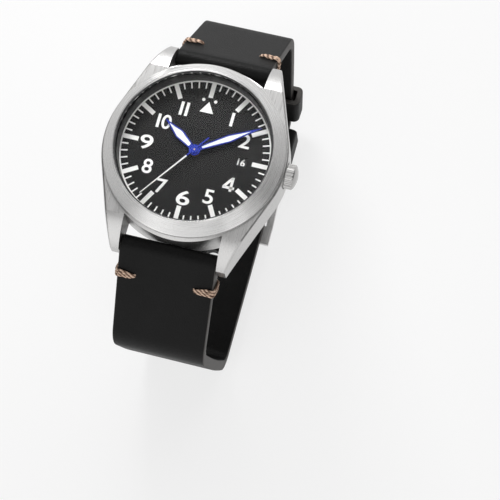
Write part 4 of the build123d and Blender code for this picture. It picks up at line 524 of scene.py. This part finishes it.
# The strap is two lengths of thick black leather, lined and burnished at the edges. Each is folded
# back round its spring bar, glued to its own underside and thinned out there to a feather edge. The
# half with the buckle is also folded round the buckle's bar.
strap_thickness = 2.6 * MM
strap_lug_width, strap_buckle_width = 21.7 * MM, 20.4 * MM
exit_angle, side_angle, side_turn = radians(48), radians(100), radians(5.6)
exit_length, side_length = 21 * MM, 4 * MM
shoulder_radius, side_radius, corner_radius = 7 * MM, 240 * MM, 4 * MM
roll_radius, pin_roll_radius = 2.2 * MM, 2.05 * MM
long_drop, tail_reach, tail_corner = 2.9 * MM, 15 * MM, 6 * MM
fold_length, feather_length = 9 * MM, 1.3 * MM
section_corner, section_step = 0.45 * MM, 1.4 * MM


def bar_place(node):
    # where a bar's axis lies, seen from the side
    low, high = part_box(node)
    return (low[1] + high[1]) / 2, (low[2] + high[2]) / 2


bar_y, bar_z = bar_place("spring_bar_12")
buckle_y, buckle_z = bar_place("buckle_bar")
bottom_height = buckle_z - (pin_roll_radius - strap_thickness / 2)


def strap_route(extra_drop, flat_length):
    # legs of (length, turn, radius): off the bar, over the shoulder, down the side, round and along
    shoulder_turn, corner_turn = side_angle - exit_angle, pi - side_angle - side_turn
    return (
        (exit_length, 0, 0),
        (shoulder_radius * shoulder_turn, shoulder_turn, shoulder_radius),
        (side_length + extra_drop / sin(side_angle), 0, 0),
        (side_radius * side_turn, side_turn, side_radius),
        (corner_radius * corner_turn, corner_turn, corner_radius),
        (flat_length, 0, 0),
    )


def moved_pose(pose, length, turned, radius, share=1.0):
    # walks a share of one leg of a route: a straight run, or an arc turning down and inwards
    y, z, heading = pose
    if radius == 0:
        return y + share * length * cos(heading), z + share * length * sin(heading), heading
    centre_y, centre_z = y + radius * sin(heading), z - radius * cos(heading)
    heading -= share * turned
    return centre_y - radius * sin(heading), centre_z + radius * cos(heading), heading


def aside(pose, distance):
    # the point at a distance to the outside of a pose
    return pose[0] - distance * sin(pose[2]), pose[1] + distance * cos(pose[2])


bar_line = (bar_y, bar_z, -exit_angle)
strap_start = (*aside(bar_line, roll_radius - strap_thickness / 2), -exit_angle)


def corner_end(extra_drop):
    # how far out the strap comes round its lower corner and runs level
    pose = strap_start
    for leg in strap_route(extra_drop, 0):
        pose = moved_pose(pose, *leg)
    return pose[0]


def pose_at(route, distance):
    # a place on a route, which runs straight on before its start and past its end
    pose = strap_start
    for length, turned, radius in route:
        if distance <= length:
            return moved_pose(pose, length, turned, radius, distance / length)
        distance -= length
        pose = moved_pose(pose, length, turned, radius)
    return moved_pose(pose, distance, 0, 0)


def strap_width_at(height):
    share = (bar_z - height) / (bar_z - (bottom_height - long_drop))
    return strap_lug_width + (strap_buckle_width - strap_lug_width) * min(1.0, share)


def leather_faces(distance, route_length, round_pin):
    # how far the leather reaches to the outside and the inside of its route
    outer, inner = strap_thickness / 2, -strap_thickness / 2
    if distance < fold_length:
        doubled = outer - 2 * roll_radius
        thinned = max(0.0, distance - fold_length + feather_length) / feather_length
        inner = doubled + (inner - doubled) * thinned
    if distance < 0:
        middle, roll = outer - roll_radius, (roll_radius ** 2 - distance ** 2) ** 0.5
        outer, inner = middle + roll, middle - roll
    past = distance - route_length
    if round_pin and abs(past) < pin_roll_radius:
        middle = strap_thickness / 2 - pin_roll_radius
        roll = (pin_roll_radius ** 2 - past ** 2) ** 0.5
        inner = min(inner, middle - roll) if past < 0 else middle - roll
        outer = outer if past < 0 else middle + roll
    return outer, inner


def tail_share(distance, route_length, round_pin):
    # how much of its width the leather keeps where the tail's corners are rounded off
    inset = tail_corner - (route_length - distance)
    if round_pin or inset < 0:
        return 1.0
    half = strap_buckle_width / 2
    return (half - tail_corner + (tail_corner ** 2 - inset ** 2) ** 0.5) / half


def strap_places(route, round_pin):
    # the places along a route where the leather's section is set down
    places, start = [], 0.0
    for length, turned, radius in route:
        steps = max(2, round(length / section_step), round(turned / radians(6)))
        places += [start + length * step / steps for step in range(steps)]
        start += length
    curve = [sin(radians(angle)) for angle in (15, 30, 42, 54, 65, 75, 83, 88)]
    places += [-roll_radius * share for share in curve]
    places += [fold_length - feather_length, fold_length, start]
    if round_pin:
        places += [start + side * pin_roll_radius * share for share in curve for side in (-1, 1)]
    else:
        places += [start - tail_corner * (1 - share) for share in curve]
    return sorted(places), start


def next_rim(made, rim, ring):
    # extrudes a rim once; the ring says where each of its corners lies in the section
    grown = bmesh.ops.extrude_edge_only(made, edges=rim)["geom"]
    fresh = [part for part in grown if isinstance(part, bmesh.types.BMVert)]
    fresh_ring = {corner: next(ring[edge.other_vert(corner)] for edge in corner.link_edges
                               if edge.other_vert(corner) in ring) for corner in fresh}
    fresh_rim = [part for part in grown if isinstance(part, bmesh.types.BMEdge)
                 and part.verts[0] in fresh_ring and part.verts[1] in fresh_ring]
    return fresh_rim, fresh_ring


def strap_half(route, round_pin):
    # one length of leather: a round-cornered section, drawn out from place to place along its route
    made = bmesh.new()
    bmesh.ops.create_grid(made, x_segments=1, y_segments=1, size=0.5)
    bmesh.ops.scale(made, verts=made.verts, vec=(strap_lug_width, strap_thickness, 1))
    bmesh.ops.bevel(made, geom=made.verts[:], offset=section_corner, segments=4, profile=0.5,
                    affect="VERTICES", material=-1)
    bmesh.ops.delete(made, geom=made.faces[:], context="FACES_ONLY")
    wide = [edge for edge in made.edges if edge.calc_length() > strap_lug_width / 2]
    bmesh.ops.subdivide_edges(made, edges=wide, cuts=5)
    ring = {corner: (corner.co.x, corner.co.y) for corner in made.verts}
    rim = made.edges[:]
    places, route_length = strap_places(route, round_pin)
    for number, distance in enumerate(places):
        if number:
            rim, ring = next_rim(made, rim, ring)
        pose = pose_at(route, distance)
        outer, inner = leather_faces(distance, route_length, round_pin)
        kept = tail_share(distance, route_length, round_pin)
        half, middle = (outer - inner) / 2, (outer + inner) / 2
        for corner, (across, over) in ring.items():
            if half < strap_thickness / 2:
                over *= 2 * half / strap_thickness
            else:
                over += (half - strap_thickness / 2) * (1 if over > 0 else -1)
            y, z = aside(pose, middle + over)
            corner.co = (across * kept * strap_width_at(z) / strap_lug_width, y, z)
    ends = [edge for edge in made.edges if len(edge.link_faces) == 1]
    bmesh.ops.holes_fill(made, edges=ends, sides=0)
    bmesh.ops.recalc_face_normals(made, faces=made.faces)
    return made


pebble_fineness, pebble_bend = 1700.0, 0.0006


def leather_group():
    # fine pebbled grain, a little uneven in tone
    group = bpy.data.node_groups.new("leather_grain", "ShaderNodeTree")
    group.interface.new_socket("Scale", in_out="INPUT", socket_type="NodeSocketFloat")
    for label in ("Height", "Tone"):
        group.interface.new_socket(label, in_out="OUTPUT", socket_type="NodeSocketFloat")
    start = add_node(group, "NodeGroupInput")
    place = add_node(group, "ShaderNodeTexCoord")
    bend = uneven(group, 500)
    shift = add_node(group, "ShaderNodeVectorMath", {
        0: bend.outputs["Color"], 1: (pebble_bend,) * 3, 2: place.outputs["Object"]},
        operation="MULTIPLY_ADD")
    cells = add_node(group, "ShaderNodeTexVoronoi", {
        "Vector": shift.outputs[0], "Scale": start.outputs["Scale"]}, feature="DISTANCE_TO_EDGE")
    ridge = add_node(group, "ShaderNodeMapRange", {
        "Value": cells.outputs["Distance"], "From Max": 0.22}, interpolation_type="SMOOTHSTEP")
    pores = uneven(group, 5200, 3)
    height = add_node(group, "ShaderNodeMath", {0: pores.outputs["Fac"], 1: 0.35, 2: ridge.outputs[0]},
                      operation="MULTIPLY_ADD")
    patches = uneven(group, 160, 4)
    add_node(group, "NodeGroupOutput", {"Height": height.outputs[0], "Tone": patches.outputs["Fac"]})
    return group


leather_grain = leather_group()


def leather(name, dark, light, rough, depth):
    made, tree, shader = paint(name, dark, rough)
    shader.inputs["Specular IOR Level"].default_value = 0.13
    grain = add_node(tree, "ShaderNodeGroup", {"Scale": pebble_fineness}, node_tree=leather_grain)
    toned(tree, shader, grain.outputs["Tone"], dark, light)
    raised(tree, shader, grain.outputs["Height"], 0.6, depth)
    return made


strap_face = leather("strap_face", (0.003, 0.003, 0.003), (0.008, 0.008, 0.008), 0.48, 0.00004)
strap_edge = leather("strap_edge", (0.05, 0.047, 0.045), (0.09, 0.085, 0.08), 0.5, 0.00001)


def burnish(made, edge_way, least):
    # gives the second finish, the burnished edge, to faces that look this way or the opposite one
    made.normal_update()
    for face in made.faces:
        if abs(face.normal.dot(edge_way)) > least:
            face.material_index = 1


def round_bar(made, y, z, radius, width):
    # adds a closed round bar along X
    stand = Matrix.Translation((0, y, z)) @ Matrix.Rotation(pi / 2, 4, "Y")
    bmesh.ops.create_cone(made, cap_ends=True, segments=48, radius1=radius, radius2=radius,
                          depth=width, matrix=stand)


def cut_out(body, removed):
    # cuts the removed shapes out of the body and hands back the result
    holder = mesh_object(body, "leather_blank")
    tool = mesh_object(removed, "leather_punch")
    cut = holder.modifiers.new("punch", "BOOLEAN")
    cut.operation = "DIFFERENCE"
    cut.object = tool
    cut.solver = "EXACT"
    cut.use_self = True
    bpy.context.view_layer.update()
    shown = holder.evaluated_get(bpy.context.evaluated_depsgraph_get())
    mesh = bpy.data.meshes.new_from_object(shown)
    made = bmesh.new()
    made.from_mesh(mesh)
    bpy.data.meshes.remove(mesh)
    bpy.data.objects.remove(tool)
    bpy.data.objects.remove(holder)
    return made


bar_bore_radius, pin_bore_radius = 0.98 * MM, 0.83 * MM
slot_width, slot_depth = 4.0 * MM, 9 * MM
slot_low, slot_high = buckle_y - 3.05 * MM, buckle_y + 3.35 * MM
sideways, edge_share = Vector((1, 0, 0)), 0.8
short_route = strap_route(0, corner_end(0) - buckle_y)
short_length = sum(leg[0] for leg in short_route)
short_leather = strap_half(short_route, True)
short_punch = bmesh.new()
round_bar(short_punch, bar_y, bar_z, bar_bore_radius, 2 * strap_lug_width)
round_bar(short_punch, buckle_y, buckle_z, pin_bore_radius, 2 * strap_lug_width)
slot_stand = Matrix.Translation((0, (slot_low + slot_high) / 2, bottom_height))
slot_size = Matrix.Diagonal((slot_width, slot_high - slot_low, slot_depth, 1))
bmesh.ops.create_cube(short_punch, size=1, matrix=slot_stand @ slot_size)
short_leather = cut_out(short_leather, short_punch)
burnish(short_leather, sideways, edge_share)
strap_short_leather = finished_piece(short_leather, "strap_short_leather")

# the long half has a round-cornered tail and seven oval holes; the tang passes the second from its end
long_route = strap_route(long_drop, corner_end(long_drop) + buckle_y + tail_reach)
long_length = sum(leg[0] for leg in long_route)
long_leather = strap_half(long_route, False)
long_punch = bmesh.new()
round_bar(long_punch, bar_y, bar_z, bar_bore_radius, 2 * strap_lug_width)
tang_hole, hole_pitch = long_length - 17.1 * MM, 6.5 * MM
hole_size = Matrix.Diagonal((3.4 * MM, 2.7 * MM, 4 * MM, 1))
for number in range(-1, 6):
    hole_y, hole_z, heading = pose_at(long_route, tang_hole - number * hole_pitch)
    stand = Matrix.Translation((0, hole_y, hole_z)) @ Matrix.Rotation(heading, 4, "X")
    bmesh.ops.create_cone(long_punch, cap_ends=True, segments=32, radius1=0.5, radius2=0.5, depth=1,
                          matrix=stand @ hole_size)
long_leather = cut_out(long_leather, long_punch)
# it is drawn on the 12 o'clock side and turned over to the 6 o'clock side
bmesh.ops.scale(long_leather, verts=long_leather.verts, vec=(1, -1, 1))
bmesh.ops.reverse_faces(long_leather, faces=long_leather.faces)
burnish(long_leather, sideways, edge_share)
strap_long_leather = finished_piece(long_leather, "strap_long_leather")
for piece, node in ((strap_short_leather, "strap_short"), (strap_long_leather, "strap_long")):
    piece.data.materials.append(strap_face)
    piece.data.materials.append(strap_edge)
    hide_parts(node)
    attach(piece, "case")


# Two keepers, bands of the same leather closed round the strap: one sewn in place beside the
# buckle, and a loose one that slides up and down the side.
keeper_wall, keeper_clear, keeper_side_clear = 1.3 * MM, 0.2 * MM, 0.8 * MM
fixed_start, fixed_reach, free_reach = 6.9 * MM, 6.6 * MM, 7.4 * MM
free_travel, free_steps = 9 * MM, 4
keeper_inner_corner, keeper_edge, touching = 0.3 * MM, 0.22 * MM, 0.001 * MM


def keeper_band(width, height, pose):
    # a closed band's end face with rounded corners, standing across a pose
    made = bmesh.new()
    rims = []
    for grow, corner in ((keeper_wall, keeper_wall * 1.1), (0, keeper_inner_corner)):
        before = set(made.edges)
        bmesh.ops.create_grid(made, x_segments=1, y_segments=1, size=0.5,
                              matrix=Matrix.Diagonal((width + 2 * grow, height + 2 * grow, 1, 1)))
        edges = [edge for edge in made.edges if edge not in before]
        corners = list(dict.fromkeys(vertex for edge in edges for vertex in edge.verts))
        bmesh.ops.bevel(made, geom=corners, offset=corner, segments=6, profile=0.5,
                        affect="VERTICES", material=-1)
        bmesh.ops.delete(made, geom=made.faces[:], context="FACES_ONLY")
        rims.append([edge for edge in made.edges if edge not in before])
    faces = bmesh.ops.bridge_loops(made, edges=rims[0] + rims[1])["faces"]
    stand = Matrix.Translation((0, pose[0], pose[1])) @ Matrix.Rotation(pose[2] + pi / 2, 4, "X")
    bmesh.ops.transform(made, verts=made.verts, matrix=stand)
    return made, faces


def drawn_on(made, faces, move):
    # extrudes a band's end face and moves the new one on
    grown = bmesh.ops.extrude_face_region(made, geom=faces)["geom"]
    bmesh.ops.transform(made, matrix=move,
                        verts=[part for part in grown if isinstance(part, bmesh.types.BMVert)])
    return [part for part in grown if isinstance(part, bmesh.types.BMFace)]


keeper_place = short_length - sum(leg[0] for leg in short_route[4:]) - 0.5 * MM
travel_height = pose_at(short_route, keeper_place - free_reach - free_travel)[1]
keeper_inner = strap_width_at(travel_height) + 2 * keeper_side_clear
band_low = bottom_height - long_drop - strap_thickness / 2
band_high = bottom_height + strap_thickness / 2
fixed_band, fixed_faces = keeper_band(keeper_inner, band_high - band_low + 2 * keeper_clear,
                                      (buckle_y + fixed_start, (band_low + band_high) / 2, -pi))
drawn_on(fixed_band, fixed_faces, Matrix.Translation((0, fixed_reach, 0)))
free_band, free_faces = keeper_band(keeper_inner, strap_thickness + 2 * keeper_clear,
                                    pose_at(short_route, keeper_place))
side_y, side_z = aside(pose_at(short_route, keeper_place), -side_radius)
bowed = Matrix.Translation((0, side_y, side_z))
part_turn = Matrix.Rotation(free_reach / side_radius / free_steps, 4, "X")
for step in range(free_steps):
    # the first face stays as the band's end, and those between steps are taken out
    left_behind = free_faces if step else []
    free_faces = drawn_on(free_band, free_faces, bowed @ part_turn @ bowed.inverted())
    bmesh.ops.delete(free_band, geom=left_behind, context="FACES")
for made, name, node, body, end_way in (
    (fixed_band, "keeper_fixed_leather", "fixed_keeper", "case", Vector((0, 1, 0))),
    (free_band, "keeper_free_leather", "free_keeper", "free_keeper", Vector((0, 0, 1))),
):
    bmesh.ops.remove_doubles(made, verts=made.verts, dist=touching)
    bmesh.ops.recalc_face_normals(made, faces=made.faces)
    rims = [edge for edge in made.edges
            if len(edge.link_faces) == 2 and edge.calc_face_angle(0) > radians(60)]
    bmesh.ops.bevel(made, geom=rims, offset=keeper_edge, segments=3, profile=0.5, affect="EDGES",
                    material=-1)
    burnish(made, end_way, 0.6)
    band = finished_piece(made, name)
    band.data.materials.append(strap_face)
    band.data.materials.append(strap_edge)
    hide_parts(node)
    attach(band, body)


# Twisted tan thread wraps both edges of every fold in four strands that fan out from one hole, and
# two short stitches cross the seam between the keepers.
tan_thread, thread_tree, thread_shader = paint("tan_thread", (0.38, 0.25, 0.17), 0.75)
plies_and_painted_shade = waved(thread_tree, 520, 1.5)
# The colour runs from dark to light across the plies: their twist, with painted shade in the grooves
# between them and painted highlights on their crests.
toned(thread_tree, thread_shader, plies_and_painted_shade.outputs["Fac"], (0.12, 0.06, 0.035), (0.8, 0.58, 0.44))
raised(thread_tree, thread_shader, plies_and_painted_shade.outputs["Fac"], 0.7, 0.00003)
threads = bmesh.new()
thread_radius = 0.25 * MM
strand_pitch, strand_twist, ring_twist = 0.44 * MM, 2.1, 0.9
strand_sway, strand_swell = 0.13 * MM, 0.12 * MM


def thread(path, across):
    # a round thread drawn along a path, each ring square to the path
    made = bmesh.ops.create_circle(threads, cap_ends=False, segments=8, radius=thread_radius)["verts"]
    ring = {corner: (corner.co.x, corner.co.y) for corner in made}
    rim = first_rim = list(dict.fromkeys(edge for corner in made for edge in corner.link_edges))
    for number, place in enumerate(path):
        if number:
            rim, ring = next_rim(threads, rim, ring)
        ahead, behind = path[min(number + 1, len(path) - 1)], path[max(number - 1, 0)]
        way = (ahead - behind).normalized()
        first = (across - way * across.dot(way)).normalized()
        second = way.cross(first)
        for corner, (one, two) in ring.items():
            corner.co = place + first * one + second * two
    bmesh.ops.holes_fill(threads, edges=first_rim + rim, sides=0)


def ways_at(pose):
    # the outward way and the way along the strap at a pose
    return Vector((0, -sin(pose[2]), cos(pose[2]))), Vector((0, cos(pose[2]), sin(pose[2])))


def wrapped_strand(pose, half, side, lift, strand):
    # one strand: out of its hole in the outer face, over the edge and back in underneath
    outward, along = ways_at(pose)
    base = Vector((0, pose[0], pose[1])) + outward * (strap_thickness / 2 - half)
    edge_x = strap_width_at(pose[1]) / 2
    # each place: its distance from the middle, its height, and how far the strands have fanned out
    outline = [(edge_x - 4.2 * MM, half - 0.3 * MM, 0.2), (edge_x - 3.9 * MM, half + 0.5 * lift, 0.3),
               (edge_x - 3.2 * MM, half + lift, 0.55), (edge_x - 2.2 * MM, half + lift, 0.85),
               (edge_x - 1.4 * MM, half + lift, 1.0)]
    corner = 0.55 * MM + 1.8 * lift
    for turned in range(0, 91, 18):
        angle = radians(turned)
        outline.append((edge_x + lift - corner + corner * sin(angle),
                        half + lift - corner + corner * cos(angle), 1.0))
    outline += [(x, -height, spread) for x, height, spread in reversed(outline)]
    offset = (strand - 1.5) * strand_pitch
    path = []
    for number, (x, height, spread) in enumerate(outline):
        twist = strand * strand_twist + number * ring_twist
        sway = strand_sway * sin(twist) * spread
        swell = 1 + strand_swell * cos(twist) * spread / half
        path.append(base + Vector((side * x, 0, 0)) + outward * height * swell
                    + along * (offset * spread + sway))
    thread(path, along)


# each pair of wraps: its strap half, its place there, its side of the watch, how far the thread
# stands off the leather and half the leather's thickness
for route, place, side_of_watch, lift, half in (
    (short_route, 6.0 * MM, 1, 0.42 * MM, roll_radius),
    (long_route, 6.0 * MM, -1, 0.42 * MM, roll_radius),
    (short_route, short_length - 3.9 * MM, 1, 0.01 * MM, strap_thickness / 2),
):
    before = set(threads.verts)
    for side in (1, -1):
        for strand in range(4):
            wrapped_strand(pose_at(route, place), half, side, lift, strand)
    if side_of_watch < 0:
        made = [vertex for vertex in threads.verts if vertex not in before]
        bmesh.ops.scale(threads, verts=made, vec=(1, -1, 1))

seam = pose_at(short_route, short_length - 14.45 * MM)
seam_x, seam_offset = 4.2 * MM, 0.22 * MM
seam_outward, seam_along = ways_at(seam)
for side in (1, -1):
    for offset in (-seam_offset, seam_offset):
        thread([Vector((side * seam_x + shift * MM, seam[0], seam[1])) + seam_along * offset
                + seam_outward * (strap_thickness / 2 + height * MM)
                for shift, height in ((-0.85, -0.2), (-0.7, -0.04), (0, 0), (0.7, -0.04), (0.85, -0.2))],
               seam_along)
bmesh.ops.recalc_face_normals(threads, faces=threads.faces)
strap_threads = finished_piece(threads, "strap_threads")
strap_threads.data.materials.append(tan_thread)
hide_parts("strap_stitches")
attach(strap_threads, "case")
